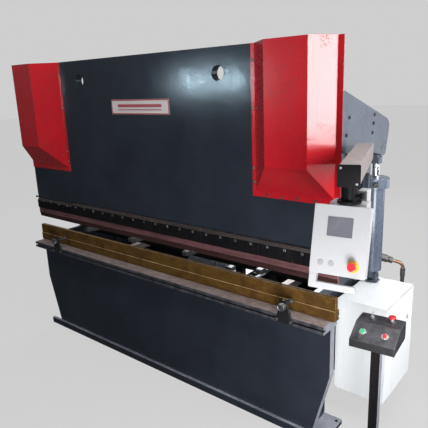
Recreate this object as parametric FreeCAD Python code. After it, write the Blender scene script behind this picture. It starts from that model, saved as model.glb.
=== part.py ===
import FreeCAD, Part
import math
import os

# Press brake, 3.2 m, with a rocker-arm drive: a cylinder at the back of each side lifts the tail
# of a rocker, and the nose of the rocker pushes the ram down in front of the side frames.
# Frame: +X to the operator's right, +Y to the back, +Z up, millimetres.
# The origin is on the floor, under the middle of the bending line.

V = FreeCAD.Vector

# ---- driving dimensions ---------------------------------------------------------------------
TOOL_HALF = 1600.0        # half the length of the ram and the punch
STROKE = 85.0             # ram travel
RUN_GAP = 0.3             # running clearance of a sliding or turning fit

RAM_FRONT = -8.0
RAM_BACK = 52.0
RAM_TOP = 2579.0
RAM_SHOULDER = 1668.0
RAM_BOTTOM = 1262.0
RAM_NECK_HALF = 1060.0    # half width of the ram between the two drive heads
LIFT_HOLE_X = 736.0
LIFT_HOLE_Z = 2416.0
LIFT_HOLE_R = 50.0

PUNCH_TIP_Z = 1142.0
PUNCH_HALF_THICK = 11.0
PUNCH_TOP_Z = 1295.0
CLAMP_BOTTOM_Z = 1240.0
CLAMP_TOP_Z = 1347.0
CLAMP_FRONT = -45.0
CLAMP_BOLT_PITCH = 129.0
CLAMP_BOLT_FIRST = -1455.0
CLAMP_BOLTS = 24
CLAMP_BOLT_Z = 1315.0

TABLE_TOP = 906.0
TABLE_BOTTOM = 852.0
TABLE_HALF = 1573.0
TABLE_FRONT = -120.0
TABLE_BACK = 60.0
DIE_TOP = 1060.0
DIE_LEDGE = 974.0
DIE_HALF = 1597.0

BED_HALF = 1569.0
BED_FRONT = -18.0
BED_BACK = 39.0
BED_TAPER_Z = 512.0
BED_FOOT_HALF = 1432.0

FRAME_IN = 1360.0         # inner face of a side frame
FRAME_OUT = 1400.0        # outer face of a side frame
FRAME_REAR = 930.0
ARCH_FRONT = 262.0        # cut-out between the two feet of a side frame
ARCH_REAR = 716.0
ARCH_TOP = 290.0
FRAME_TOP = 2180.0
FOOT_THICK = 25.0

PIVOT_Z = 1969.0          # axis of the rocker shaft
NOSE_ARM = 300.0
TAIL_ARM = 453.0
SWING = math.asin(STROKE / 2 / NOSE_ARM)      # half the rocker's swing
NOSE_Y = 22.0
PIVOT_Y = NOSE_Y + NOSE_ARM * math.cos(SWING)
NOSE_Z = PIVOT_Z + NOSE_ARM * math.sin(SWING)
TAIL_Y = PIVOT_Y + TAIL_ARM * math.cos(SWING)
TAIL_Z = PIVOT_Z - TAIL_ARM * math.sin(SWING)
NOSE_DRIFT = NOSE_ARM * (1 - math.cos(SWING))
TAIL_DRIFT = TAIL_ARM * (1 - math.cos(SWING))
SHAFT_R = 55.0
ROCKER_X = 1505.0         # middle plane of a rocker, between its two cheeks
CHEEK_GAP = 40.0
CHEEK_THICK = 20.0
NOSE_PIN_R = 25.0
TAIL_PIN_R = 22.0

CYL_Y = TAIL_Y + TAIL_DRIFT / 2
CYL_BOTTOM = 985.0
CYL_TOP = 1600.0
CYL_HEAD_TOP = 1672.0
CYL_R = 66.0
CYL_BORE_R = 56.5
CYL_HEAD_R = 92.0
CYL_PIN_Z = 935.0
ROD_R = 25.0
ROD_BLOCK_Z0 = 1770.0
ROD_BLOCK_Z1 = 1817.0

COVER_IN = 998.0          # inner edge of a cover's flange
COVER_OUT = 1608.0        # outer edge of a cover's flange
COVER_FACE_X0 = 1198.0
COVER_FACE_X1 = 1479.0
COVER_DEPTH = 165.0
COVER_FACE_Z = 1866.0     # where the front face turns into the slope
COVER_SLOPE_Z = 1672.0    # where the slope meets the flange
COVER_BOTTOM = 1636.0
SHEET = 3.0

CAB_X0 = 1424.0
CAB_X1 = 1778.0
CAB_Y0 = 360.0
CAB_Y1 = 875.0
CAB_Z0 = 186.0
CAB_Z1 = 887.0

ARM_PIVOT = V(1633.0, 249.0, 0)
ARM_YAW = 18.05           # degrees, the arm's front end leans outwards
ARM_SIZE = 97.0
ARM_Z = 1876.0
ARM_REACH = 800.0
NECK_REACH = 750.0
PENDANT_FOOT = V(1871.0, -600.0, 1469.0)
PENDANT_YAW = 7.7
PENDANT_LEAN = 13.5
PANEL_W = 263.0
PANEL_H = 326.0
PANEL_T = 42.0
PANEL_WALL = 3.0
ESTOP_A = 74.0
ESTOP_U = 53.0

STAND_AT = V(1905.0, -43.0, 0)
STAND_YAW = 5.33
STAND_TOP = 1044.0
STAND_W = 240.0
STAND_FLAT = 114.0
STAND_DEPTH = 230.0
STAND_DROP = 61.0
STAND_LIP = 43.0

STOP_LEFT_X = -1180.0
STOP_RIGHT_X = 1300.0
STOP_AXIS_Z = 983.0

HOSE_R = 14.0
HOSE_RUN_Y = 950.0        # the hoses run along the back of the lower beam
HOSE_RUN_Z = 400.0
HOSE_DROP_X = 640.0       # where they pass forward through the beam

GAUGE_Y = 330.0
GAUGE_SCREW_X = 600.0
GAUGE_SCREW_Z = 770.0
GAUGE_RAIL_X = 900.0
GAUGE_RAIL_TOP = 800.0


# ---- helpers --------------------------------------------------------------------------------
def box(x0, x1, y0, y1, z0, z1):
    return Part.makeBox(x1 - x0, y1 - y0, z1 - z0, V(x0, y0, z0))


def rod(start, end, radius):
    line = end - start
    return Part.makeCylinder(radius, line.Length, start, line)


def ring(start, end, outer, inner):
    return rod(start, end, outer).cut(rod(start, end, inner))


def outline(points, to_space):
    """Closed wire through points (a, b) or (a, b, r), where r rounds the corner."""
    flat = [V(p[0], p[1], 0) for p in points]
    arcs = []
    for i, here in enumerate(flat):
        radius = points[i][2] if len(points[i]) > 2 else 0
        if radius == 0:
            arcs.append((here, None, here))
            continue
        back = (flat[i - 1] - here).normalize()
        ahead = (flat[(i + 1) % len(flat)] - here).normalize()
        half = back.getAngle(ahead) / 2
        reach = radius / math.tan(half)
        inward = (back + ahead).normalize()
        middle = here + inward * (radius / math.sin(half) - radius)
        arcs.append((here + back * reach, middle, here + ahead * reach))
    edges = []
    for i, (start, middle, end) in enumerate(arcs):
        if middle is not None:
            edges.append(Part.Arc(to_space(start), to_space(middle), to_space(end)).toShape())
        follow = arcs[(i + 1) % len(arcs)][0]
        if (follow - end).Length > 1e-6:
            edges.append(Part.makeLine(to_space(end), to_space(follow)))
    return Part.Wire(edges)


def corners(u0, u1, v0, v1, radius):
    """Outline points of a rectangle with rounded corners."""
    return [(u0, v0, radius), (u1, v0, radius), (u1, v1, radius), (u0, v1, radius)]


def prism_x(points, x0, x1):
    """Points are (y, z), run from x0 to x1."""
    wire = outline(points, lambda p: V(x0, p.x, p.y))
    return Part.Face(wire).extrude(V(x1 - x0, 0, 0))


def prism_y(points, y0, y1):
    """Points are (x, z), run from y0 to y1."""
    wire = outline(points, lambda p: V(p.x, y0, p.y))
    return Part.Face(wire).extrude(V(0, y1 - y0, 0))


def prism_z(points, z0, z1):
    """Points are (x, y), run from z0 to z1."""
    wire = outline(points, lambda p: V(p.x, p.y, z0))
    return Part.Face(wire).extrude(V(0, 0, z1 - z0))


def fuse(shapes):
    whole = shapes[0].multiFuse(shapes[1:])
    return whole.removeSplitter()


def group(shapes):
    return Part.makeCompound(shapes)


def mirrored(shape):
    return shape.mirror(V(0, 0, 0), V(1, 0, 0))


def both_sides(shape):
    return group([shape, mirrored(shape)])


def placed(shape, at, yaw, lean=0.0):
    """Turns a local shape (a right, b back, z up) by lean, then yaw, and moves it."""
    copy = shape.copy()
    copy.rotate(V(0, 0, 0), V(1, 0, 0), -lean)
    copy.rotate(V(0, 0, 0), V(0, 0, 1), yaw)
    copy.translate(at)
    return copy


def bent_run(points, bend):
    """Wire of straight runs through the points, joined by tangent arcs."""
    edges = []
    last = points[0]
    for i in range(1, len(points) - 1):
        here = points[i]
        back = (points[i - 1] - here).normalize()
        ahead = (points[i + 1] - here).normalize()
        half = back.getAngle(ahead) / 2
        reach = bend / math.tan(half)
        start = here + back * reach
        end = here + ahead * reach
        inward = (back + ahead).normalize()
        middle = here + inward * (bend / math.sin(half) - bend)
        edges.append(Part.makeLine(last, start))
        edges.append(Part.Arc(start, middle, end).toShape())
        last = end
    edges.append(Part.makeLine(last, points[-1]))
    return Part.Wire(edges)


def tube_run(points, bend, radius):
    path = bent_run(points, bend)
    heading = points[1] - points[0]
    start = Part.Wire([Part.makeCircle(radius, points[0], heading)])
    return path.makePipeShell([start], True, False)


def hexagon(start, end, across_flats):
    """Hexagonal bar between two points on one axis."""
    line = end - start
    radius = across_flats / math.sqrt(3)
    corners = [V(radius * math.cos(math.radians(60 * k)), radius * math.sin(math.radians(60 * k)), 0)
               for k in range(7)]
    bar = Part.Face(Part.makePolygon(corners)).extrude(V(0, 0, line.Length))
    bar.Placement = FreeCAD.Placement(start, FreeCAD.Rotation(V(0, 0, 1), line))
    return bar


def socket_screw(seat, out, head_r, head_h, length):
    """Socket-head screw: seat is the centre under the head, out points away from the material."""
    head = rod(seat, seat + out * head_h, head_r)
    shank = rod(seat - out * length, seat, head_r * 0.6)
    socket = hexagon(seat + out * (head_h * 0.4), seat + out * (head_h + 1), head_r * 0.95)
    return head.cut(socket).fuse(shank)


def screw_bore(seat, out, head_r, length):
    return rod(seat - out * length, seat + out * 0.01, head_r * 0.6)


FRONT = V(0, -1, 0)
RIGHT = V(1, 0, 0)
UP = V(0, 0, 1)


# ---- frame ----------------------------------------------------------------------------------
def side_frame():
    plate = prism_x([(BED_BACK, FOOT_THICK), (BED_BACK, TABLE_BOTTOM), (TABLE_BACK + 2, TABLE_BOTTOM),
                     (TABLE_BACK + 2, 995, 15), (330, 995, 60), (330, 1290, 60), (95, 1290, 20),
                     (95, FRAME_TOP, 30), (520, FRAME_TOP, 60), (FRAME_REAR, 1750, 60),
                     (FRAME_REAR, FOOT_THICK), (ARCH_REAR, FOOT_THICK), (ARCH_REAR, ARCH_TOP, 70),
                     (ARCH_FRONT, ARCH_TOP, 70), (ARCH_FRONT, FOOT_THICK)], FRAME_IN, FRAME_OUT)
    shaft = rod(V(FRAME_IN - 1, PIVOT_Y, PIVOT_Z), V(FRAME_OUT + 1, PIVOT_Y, PIVOT_Z), SHAFT_R + 2)
    return plate.cut(shaft)


def bed_plate():
    return prism_y([(-BED_FOOT_HALF, 0), (-BED_HALF, BED_TAPER_Z), (-BED_HALF, TABLE_BOTTOM),
                    (BED_HALF, TABLE_BOTTOM), (BED_HALF, BED_TAPER_Z), (BED_FOOT_HALF, 0)],
                   BED_FRONT, BED_BACK)


def feet():
    """Long front foot bar and four corner plates with anchor holes."""
    plates = [box(-BED_HALF + 3, BED_HALF - 3, BED_FRONT - 27, BED_FRONT, 0, 56)]
    for y0, hole_y in ((BED_BACK, 215.0), (715.0, 750.0)):
        plate = prism_z([(1290, y0), (1545, y0, 12), (1545, y0 + 211, 12), (1290, y0 + 211)],
                        0, FOOT_THICK)
        plate = plate.cut(rod(V(1515, hole_y, -1), V(1515, hole_y, FOOT_THICK + 1), 11))
        plates += [plate, mirrored(plate)]
    return group(plates)


def table_rail():
    slot_z = TABLE_BOTTOM + 27
    rail = prism_x([(TABLE_FRONT, TABLE_BOTTOM, 3), (TABLE_FRONT, slot_z - 6),
                    (TABLE_FRONT + 12, slot_z - 6),
                    (TABLE_FRONT + 12, slot_z - 11), (TABLE_FRONT + 22, slot_z - 11),
                    (TABLE_FRONT + 22, slot_z + 11), (TABLE_FRONT + 12, slot_z + 11),
                    (TABLE_FRONT + 12, slot_z + 6), (TABLE_FRONT, slot_z + 6), (TABLE_FRONT, TABLE_TOP, 3),
                    (TABLE_BACK, TABLE_TOP), (TABLE_BACK, TABLE_BOTTOM)], -TABLE_HALF, TABLE_HALF)
    return rail


def rear_beams():
    """Two cross members welded between the side frames."""
    lower = box(-FRAME_IN, FRAME_IN, 860, 900, 300, 800)
    for x in (-HOSE_DROP_X, HOSE_DROP_X):
        lower = lower.cut(box(x - 40, x + 40, 859, 901, HOSE_RUN_Z - 45, HOSE_RUN_Z + 45))
    for x in (-1250, -900, 900, 1250):
        lower = lower.fuse(box(x - 12, x + 12, 899, HOSE_RUN_Y - 5, HOSE_RUN_Z - 14, HOSE_RUN_Z + 14))
        start = V(x - 12, HOSE_RUN_Y, HOSE_RUN_Z)
        lower = lower.fuse(rod(start, start + RIGHT * 24, HOSE_R + 5))
        lower = lower.cut(rod(start - RIGHT, start + RIGHT * 25, HOSE_R))
    plate = box(-FRAME_IN, FRAME_IN, 540, 570, 1450, 1750)
    foot = box(-FRAME_IN, FRAME_IN, 570, 650, 1450, 1475)
    return group([lower, fuse([plate, foot])])


def die():
    def vee(y, z, half, depth, turn):
        """Triangle of a V groove whose mouth is centred on (y, z) and opens towards turn."""
        dy, dz = turn
        return prism_x([(y + dy * 2 + dz * half, z + dz * 2 + dy * half),
                        (y + dy * 2 - dz * half, z + dz * 2 - dy * half),
                        (y - dy * depth, z - dz * depth)], -DIE_HALF - 1, DIE_HALF + 1)
    body = prism_x([(-21, TABLE_TOP), (-21, DIE_LEDGE, 2), (-16, DIE_LEDGE), (-16, DIE_TOP, 1.5),
                    (16, DIE_TOP, 1.5), (16, DIE_LEDGE), (39, DIE_LEDGE, 2), (39, TABLE_TOP)],
                   -DIE_HALF, DIE_HALF)
    grooves = [vee(0, DIE_TOP, 10, 9.0, (0, 1))]
    grooves.append(vee(39, 958, 9, 8.0, (1, 0)))
    grooves.append(vee(39, 926, 12, 10.0, (1, 0)))
    for groove in grooves:
        body = body.cut(groove)
    return body


def shaft_bearings():
    start = V(FRAME_OUT, PIVOT_Y, PIVOT_Z)
    flange = ring(start, start + RIGHT * 18, 100, SHAFT_R + RUN_GAP)
    barrel = ring(start, start + RIGHT * 52, 78, SHAFT_R + RUN_GAP)
    housing = fuse([flange, barrel])
    for k in range(6):
        turn = math.radians(60 * k + 30)
        spot = V(FRAME_OUT + 18, PIVOT_Y + 89 * math.cos(turn), PIVOT_Z + 89 * math.sin(turn))
        housing = housing.fuse(hexagon(spot, spot + RIGHT * 6, 13))
    return both_sides(housing)


def ram_gibs():
    head = box(1335, 1425, 55, 75, 1300, 1660)
    neck = box(1358, 1402, 75, 95, 1300, 1660)
    return both_sides(fuse([head, neck]))


def cylinder():
    axis_low = V(ROCKER_X, CYL_Y, CYL_BOTTOM)
    axis_top = V(ROCKER_X, CYL_Y, CYL_TOP)
    head_top = V(ROCKER_X, CYL_Y, CYL_HEAD_TOP)
    tube = rod(axis_low, axis_top, CYL_R)
    head = rod(axis_top, head_top, CYL_HEAD_R).cut(
        ring(head_top - UP * 4, head_top + UP, CYL_HEAD_R + 10, CYL_HEAD_R - 4))
    lug = prism_x([(CYL_Y - 29, CYL_BOTTOM + 2), (CYL_Y - 29, CYL_PIN_Z - 29, 28.9),
                   (CYL_Y + 29, CYL_PIN_Z - 29, 28.9), (CYL_Y + 29, CYL_BOTTOM + 2)],
                  ROCKER_X - 19.5, ROCKER_X + 19.5)
    centre = V(ROCKER_X, CYL_Y, 1634)
    aside = V(0.39, -0.92, 0).normalize()
    port = rod(centre, centre + aside * (CYL_HEAD_R + 16), 19)
    cap = hexagon(centre + aside * (CYL_HEAD_R + 14), centre + aside * (CYL_HEAD_R + 28), 32)
    body = fuse([tube, head, lug, port, cap])
    bore = rod(axis_low + UP * 22, axis_top + UP * 5, CYL_BORE_R)
    rod_bore = rod(axis_top, head_top + UP, ROD_R + RUN_GAP)
    pin = rod(V(ROCKER_X - 30, CYL_Y, CYL_PIN_Z), V(ROCKER_X + 30, CYL_Y, CYL_PIN_Z), 15)
    return body.cut(bore).cut(rod_bore).cut(pin)


def cylinder_brackets():
    base = prism_x(corners(690, 850, 893, 1010, 10), FRAME_OUT, FRAME_OUT + 16)
    shelf = box(FRAME_OUT, 1556, CYL_Y - 31, CYL_Y + 31, 893, 905)
    cheek = [(CYL_Y - 31, 900), (CYL_Y - 31, 966, 25), (CYL_Y + 31, 966, 25), (CYL_Y + 31, 900)]
    inner = prism_x(cheek, 1464, 1484)
    outer = prism_x(cheek, 1526, 1546)
    web = prism_y([(FRAME_OUT + 10, 900), (FRAME_OUT + 10, 1000), (1470, 940), (1470, 900)],
                  CYL_Y - 8, CYL_Y + 8)
    pin = rod(V(1458, CYL_Y, CYL_PIN_Z), V(1554, CYL_Y, CYL_PIN_Z), 15)
    body = fuse([base, shelf, inner, outer, web]).cut(pin)
    return group([body, pin, mirrored(body), mirrored(pin)])


# ---- hydraulic power unit -------------------------------------------------------------------
def oil_tank():
    tank = box(-500, 500, 480, 850, 60, 620)
    flange = box(-510, 510, 470, 858, 612, 620)
    feet = [box(x - 40, x + 40, 490, 840, 0, 60) for x in (-420, 420)]
    body = fuse([tank, flange] + feet)
    body = body.cut(box(-496, 496, 484, 846, 64, 612))
    filler = rod(V(-400, 560, 618), V(-400, 560, 670), 35)
    return fuse([body, filler])


def pump_motor():
    foot = box(-150, 150, 600, 760, 620, 632)
    legs = box(-120, 120, 620, 740, 632, 660)
    motor = rod(V(-190, 680, 735), V(140, 680, 735), 90)
    fins = [ring(V(-170 + 22 * k, 680, 735), V(-164 + 22 * k, 680, 735), 98, 80) for k in range(14)]
    box_top = box(-60, 60, 640, 720, 820, 850)
    bell = rod(V(140, 680, 735), V(220, 680, 735), 62)
    pump = box(220, 290, 640, 720, 695, 775)
    return fuse([foot, legs, motor] + fins + [box_top, bell, pump])


def valve_block():
    block = box(330, 470, 600, 760, 620, 760)
    coils = [rod(V(470, 640 + 80 * k, 730), V(520, 640 + 80 * k, 730), 20) for k in range(2)]
    plugs = [hexagon(V(360 + 80 * k, 600, 690), V(360 + 80 * k, 588, 690), 24) for k in range(2)]
    return fuse([block] + coils + plugs)


PORT_Z = 1096.0
PORT_TURN = math.radians(34.0)
PORT_SLOPE = math.tan(math.radians(18.0))
PORT_OUT = V(math.cos(PORT_TURN), math.sin(PORT_TURN), -PORT_SLOPE).normalize()
PORT_AXIS = V(ROCKER_X, CYL_Y, PORT_Z)
PIPE_CORNER = PORT_AXIS + PORT_OUT * (222 / math.hypot(PORT_OUT.x, PORT_OUT.y))
PIPE_END = PIPE_CORNER - V(0, 0, 40)

def port_pipe():
    nut = hexagon(PORT_AXIS + PORT_OUT * (CYL_R - 6), PORT_AXIS + PORT_OUT * 112, 50)
    collar = rod(PORT_AXIS + PORT_OUT * 111, PORT_AXIS + PORT_OUT * 121, 18)
    union = hexagon(PORT_AXIS + PORT_OUT * 120, PORT_AXIS + PORT_OUT * 150, 42)
    pipe = tube_run([PORT_AXIS + PORT_OUT * 149, PIPE_CORNER, PIPE_END], 50, 12)
    ferrule = rod(PIPE_END + UP * 4, PIPE_END - UP * 55, 17.5)
    crimps = [ring(PIPE_END - UP * z, PIPE_END - UP * (z + 3), 18.5, 16) for z in (14, 26, 38)]
    bore = rod(PIPE_END - UP * 12, PIPE_END - UP * 56, HOSE_R)
    tube = rod(V(ROCKER_X, CYL_Y, CYL_BOTTOM), V(ROCKER_X, CYL_Y, CYL_TOP), CYL_R)
    return fuse([nut, collar, union, pipe, ferrule]).cut(group(crimps)).cut(bore).cut(tube)


def hose_route(side):
    """From the ferrule down, along the back of the lower beam and forward through it."""
    start = PIPE_END - UP * 12
    route = [start, V(start.x, start.y, 600), V(start.x, HOSE_RUN_Y, HOSE_RUN_Z),
             V(HOSE_DROP_X, HOSE_RUN_Y, HOSE_RUN_Z), V(HOSE_DROP_X, 680, HOSE_RUN_Z)]
    return [V(side * p.x, p.y, p.z) for p in route]


def hoses():
    """The right hose ends in the valve block, the left one in the side of the tank."""
    right = hose_route(1) + [V(HOSE_DROP_X, 680, 690), V(470, 680, 690)]
    left = hose_route(-1)[:-1] + [V(-HOSE_DROP_X, 650, HOSE_RUN_Z), V(-500, 650, HOSE_RUN_Z)]
    return group([tube_run(right, 90, HOSE_R), tube_run(left, 60, HOSE_R)])


# ---- electrical cabinet ---------------------------------------------------------------------
DOOR_GAP = 0.4
DOOR_T = 2.6
HINGE_X = CAB_X1 + 1.5
HINGE_Y = CAB_Y0 - 4.5
HINGE_Z = (320.0, 740.0)
HINGE_R = 4.0


def cabinet_body():
    shell = prism_y([(CAB_X0, CAB_Z0, 6), (CAB_X0, CAB_Z1, 18), (CAB_X1, CAB_Z1, 6), (CAB_X1, CAB_Z0, 6)],
                    CAB_Y0, CAB_Y1)
    inside = box(CAB_X0 + SHEET, CAB_X1 + 1, CAB_Y0 + SHEET, CAB_Y1 - SHEET, CAB_Z0 + SHEET, CAB_Z1 - SHEET)
    parts = [shell.cut(inside)]
    for y in (CAB_Y0 + 60, CAB_Y1 - 60):
        for z in (CAB_Z0 + 60, CAB_Z1 - 80):
            parts.append(rod(V(FRAME_OUT, y, z), V(CAB_X0 + 1, y, z), 16))
    parts.append(box(CAB_X0 + SHEET, CAB_X0 + 14, CAB_Y0 + 60, CAB_Y1 - 60, CAB_Z0 + 60, CAB_Z1 - 60))
    clip = V(PIPE_END.x, PIPE_END.y, 700)
    parts.append(box(clip.x - 14, clip.x + 14, CAB_Y1 - 1, clip.y - 5, 700, 724))
    parts.append(rod(clip, clip + UP * 24, HOSE_R + 5))
    for z in HINGE_Z:
        parts.append(hinge_barrel(z - 12, z + 12, HINGE_R))
        parts.append(hinge_barrel(z - 32, z + 32, 2))
        parts.append(box(CAB_X1 - 4, CAB_X1, HINGE_Y, CAB_Y0 + 1, z - 12, z + 12))
    return fuse(parts).cut(rod(clip - UP, clip + UP * 25, HOSE_R))


def hinge_barrel(z0, z1, radius):
    return rod(V(HINGE_X, HINGE_Y, z0), V(HINGE_X, HINGE_Y, z1), radius)



def cabinet_door():
    x0 = CAB_X1 + DOOR_GAP
    skin = prism_x([(CAB_Y0 + 1, CAB_Z0 + 1, 5), (CAB_Y0 + 1, CAB_Z1 - 6, 5),
                    (CAB_Y1 - 1, CAB_Z1 - 6, 5), (CAB_Y1 - 1, CAB_Z0 + 1, 5)], x0, x0 + DOOR_T)
    lip = prism_x([(CAB_Y0 + 8, CAB_Z0 + 8), (CAB_Y0 + 8, CAB_Z1 - 12), (CAB_Y1 - 8, CAB_Z1 - 12),
                   (CAB_Y1 - 8, CAB_Z0 + 8)], x0 - 14, x0 + 1)
    core = box(x0 - 15, x0, CAB_Y0 + 10, CAB_Y1 - 10, CAB_Z0 + 10, CAB_Z1 - 14)
    latch_bore = rod(V(x0 - 5, 746, 692), V(x0 + 5, 746, 692), 9 + RUN_GAP)
    parts = [skin, lip.cut(core)]
    for z in HINGE_Z:
        for z0, z1 in ((z - 32, z - 12 - RUN_GAP), (z + 12 + RUN_GAP, z + 32)):
            leaf = box(x0, x0 + DOOR_T, HINGE_Y, CAB_Y0 + 3, z0, z1)
            parts.append(leaf.fuse(hinge_barrel(z0, z1, HINGE_R)))
    body = fuse(parts).cut(latch_bore)
    for z in HINGE_Z:
        body = body.cut(hinge_barrel(z - 33, z + 33, 2 + RUN_GAP))
    return body


def door_latch():
    x0 = CAB_X1 + DOOR_GAP
    barrel = rod(V(x0 - 16, 746, 692), V(x0 + DOOR_T + 1, 746, 692), 9)
    face = rod(V(x0 + DOOR_T + RUN_GAP, 746, 692), V(x0 + DOOR_T + 5, 746, 692), 13)
    wing = box(x0 + DOOR_T + 4, x0 + DOOR_T + 12, 742, 750, 675, 709)
    cam = box(x0 - 16, x0 - 12, 737, 755, 668, 704)
    return fuse([barrel, face, wing, cam])


# ---- ram and what rides on it ---------------------------------------------------------------
def ram_plate():
    plate = prism_y([(-TOOL_HALF, RAM_BOTTOM), (-TOOL_HALF, RAM_SHOULDER, 25),
                     (-RAM_NECK_HALF, RAM_SHOULDER, 40), (-RAM_NECK_HALF, RAM_TOP, 10),
                     (RAM_NECK_HALF, RAM_TOP, 10), (RAM_NECK_HALF, RAM_SHOULDER, 40),
                     (TOOL_HALF, RAM_SHOULDER, 25), (TOOL_HALF, RAM_BOTTOM)], RAM_FRONT, RAM_BACK)
    seat = box(-TOOL_HALF - 1, TOOL_HALF + 1, RAM_FRONT - 1, PUNCH_HALF_THICK, RAM_BOTTOM - 1, PUNCH_TOP_Z)
    plate = plate.cut(seat)
    for x in (-LIFT_HOLE_X, LIFT_HOLE_X):
        front = V(x, RAM_FRONT - 1, LIFT_HOLE_Z)
        plate = plate.cut(rod(front, V(x, RAM_BACK + 1, LIFT_HOLE_Z), LIFT_HOLE_R))
    for seat_at in clamp_bolt_seats():
        plate = plate.cut(screw_bore(seat_at, FRONT, 10, 75))
    return plate


def ram_shoes():
    shoes = []
    for sign in (-1, 1):
        near = 1380 + sign * (45 + RUN_GAP)
        far = near + sign * 30
        tip = 1380 + sign * 25
        wall = box(min(near, far), max(near, far), RAM_BACK, 92, 1310, 1600)
        hook = box(min(tip, near), max(tip, near), 75 + RUN_GAP, 92, 1310, 1600)
        pad = box(min(near, far), max(near, far), RAM_BACK, 54, 1310, 1600)
        shoes.append(fuse([wall, hook, pad]))
    return group(shoes + [mirrored(s) for s in shoes])


def ram_yokes():
    y0 = NOSE_Y - 64
    y1 = NOSE_Y + 62
    plate = prism_x([(RAM_FRONT + 2, RAM_SHOULDER), (RAM_FRONT + 2, 1760, 40), (y0, 1880, 40),
                     (y0, NOSE_Z + 62, 50), (y1, NOSE_Z + 62, 50), (y1, RAM_SHOULDER)],
                    ROCKER_X - 19.5, ROCKER_X + 19.5)
    half_w = NOSE_PIN_R + NOSE_DRIFT / 2 + 1
    half_h = NOSE_PIN_R + RUN_GAP
    mid = NOSE_Y - NOSE_DRIFT / 2
    sides = corners(mid - half_w, mid + half_w, NOSE_Z - half_h, NOSE_Z + half_h, half_h - 0.1)
    slot = prism_x(sides, ROCKER_X - 30, ROCKER_X + 30)
    return both_sides(plate.cut(slot))


CLAMP_EDGES = [-1560.0, -998.0, -450.0, 50.0, 552.0, 1055.0, 1312.0, 1565.0]


def clamp_bolt_seats():
    return [V(CLAMP_BOLT_FIRST + CLAMP_BOLT_PITCH * k, CLAMP_FRONT + 6, CLAMP_BOLT_Z)
            for k in range(CLAMP_BOLTS)]


def clamp_strips():
    strips = []
    for i in range(len(CLAMP_EDGES) - 1):
        top = CLAMP_TOP_Z if i > 0 else CLAMP_TOP_Z - 14
        strip = prism_x([(CLAMP_FRONT + 6, CLAMP_BOTTOM_Z, 3), (CLAMP_FRONT, CLAMP_BOTTOM_Z + 12),
                         (CLAMP_FRONT, top - 16), (CLAMP_FRONT + 15, top),
                         (RAM_FRONT, top), (RAM_FRONT, PUNCH_TOP_Z + 3), (-PUNCH_HALF_THICK, PUNCH_TOP_Z),
                         (-PUNCH_HALF_THICK, CLAMP_BOTTOM_Z)],
                        CLAMP_EDGES[i] + 0.6, CLAMP_EDGES[i + 1] - 0.6)
        for seat_at in clamp_bolt_seats():
            if CLAMP_EDGES[i] < seat_at.x < CLAMP_EDGES[i + 1]:
                strip = strip.cut(screw_bore(seat_at, FRONT, 10, 75))
                strip = strip.cut(rod(seat_at, seat_at + FRONT * 20, 11))
        strips.append(strip)
    return group(strips)


def clamp_bolts():
    bolts = [socket_screw(seat_at, FRONT, 10, 9, 60) for seat_at in clamp_bolt_seats()]
    end_pin = V(-TOOL_HALF, 0, 1335)
    knob = rod(end_pin - RIGHT * 38, end_pin, 6).fuse(Part.makeSphere(10, end_pin - RIGHT * 42))
    return group(bolts + [knob])


def punch():
    h = PUNCH_HALF_THICK
    return prism_x([(-h, PUNCH_TOP_Z - 0.5, 1), (-h, 1186), (-1.2, PUNCH_TIP_Z, 0.8),
                    (1.2, PUNCH_TIP_Z, 0.8), (h, 1178), (h, PUNCH_TOP_Z - 0.5, 1)],
                   -TOOL_HALF - 3, TOOL_HALF + 3)


def nameplate():
    plate = prism_y([(-349, 2148, 4), (-349, 2261, 4), (285, 2261, 4), (285, 2148, 4)],
                    RAM_FRONT - 2, RAM_FRONT)
    rivets = []
    for x in (-339, 275):
        for z in (2158, 2251):
            rivets.append(rod(V(x, RAM_FRONT - 3.2, z), V(x, RAM_FRONT - 2, z), 3))
    return fuse([plate] + rivets)


def cover():
    back = RAM_FRONT - SHEET
    face = RAM_FRONT - COVER_DEPTH
    slant0 = 1026.0
    slant1 = 1572.0

    def hood(inset, z0, z1, y_back):
        """Solid under the hood's skin, cut by the slope; inset moves every wall inwards."""
        body = prism_z([(slant0 + inset * 1.8, y_back), (COVER_FACE_X0 + inset * 0.6, face + inset),
                        (COVER_FACE_X1 - inset * 0.5, face + inset), (slant1 - inset * 1.6, y_back)], z0, z1)
        rise = inset * 1.55
        run = 300.0
        slope = (COVER_FACE_Z - COVER_SLOPE_Z) / (COVER_DEPTH - SHEET)
        low = [(face - run, COVER_FACE_Z + slope * run + rise),
               (back + run, COVER_SLOPE_Z - slope * run + rise),
               (back + run, z0 - 800), (face - run, z0 - 800)]
        return body.cut(prism_x(low, COVER_IN - 50, COVER_OUT + 50))

    outer = hood(0, COVER_BOTTOM, RAM_TOP, back)
    inner = hood(SHEET, COVER_BOTTOM, RAM_TOP - SHEET, back + 1)
    flange = box(COVER_IN, COVER_OUT, back, RAM_FRONT, COVER_BOTTOM, RAM_TOP)
    window = prism_y([(slant0 + 5, COVER_SLOPE_Z + 4), (slant0 + 5, RAM_TOP - SHEET),
                      (slant1 - 5, RAM_TOP - SHEET), (slant1 - 5, COVER_SLOPE_Z + 4)],
                     back - 1, RAM_FRONT + 1)
    skin = outer.cut(inner).fuse(flange.cut(window)).removeSplitter()
    for seat_at in cover_screw_seats():
        skin = skin.cut(rod(seat_at - FRONT * 6, seat_at + FRONT * 1, 4.4))
    return skin


def cover_screw_seats():
    y = RAM_FRONT - SHEET
    seats = [V(1011, y, z) for z in (1730, 1820, 2195, 2480)]
    seats += [V(x, y, 1651) for x in (1108, 1218, 1327, 1450)]
    return seats


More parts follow.
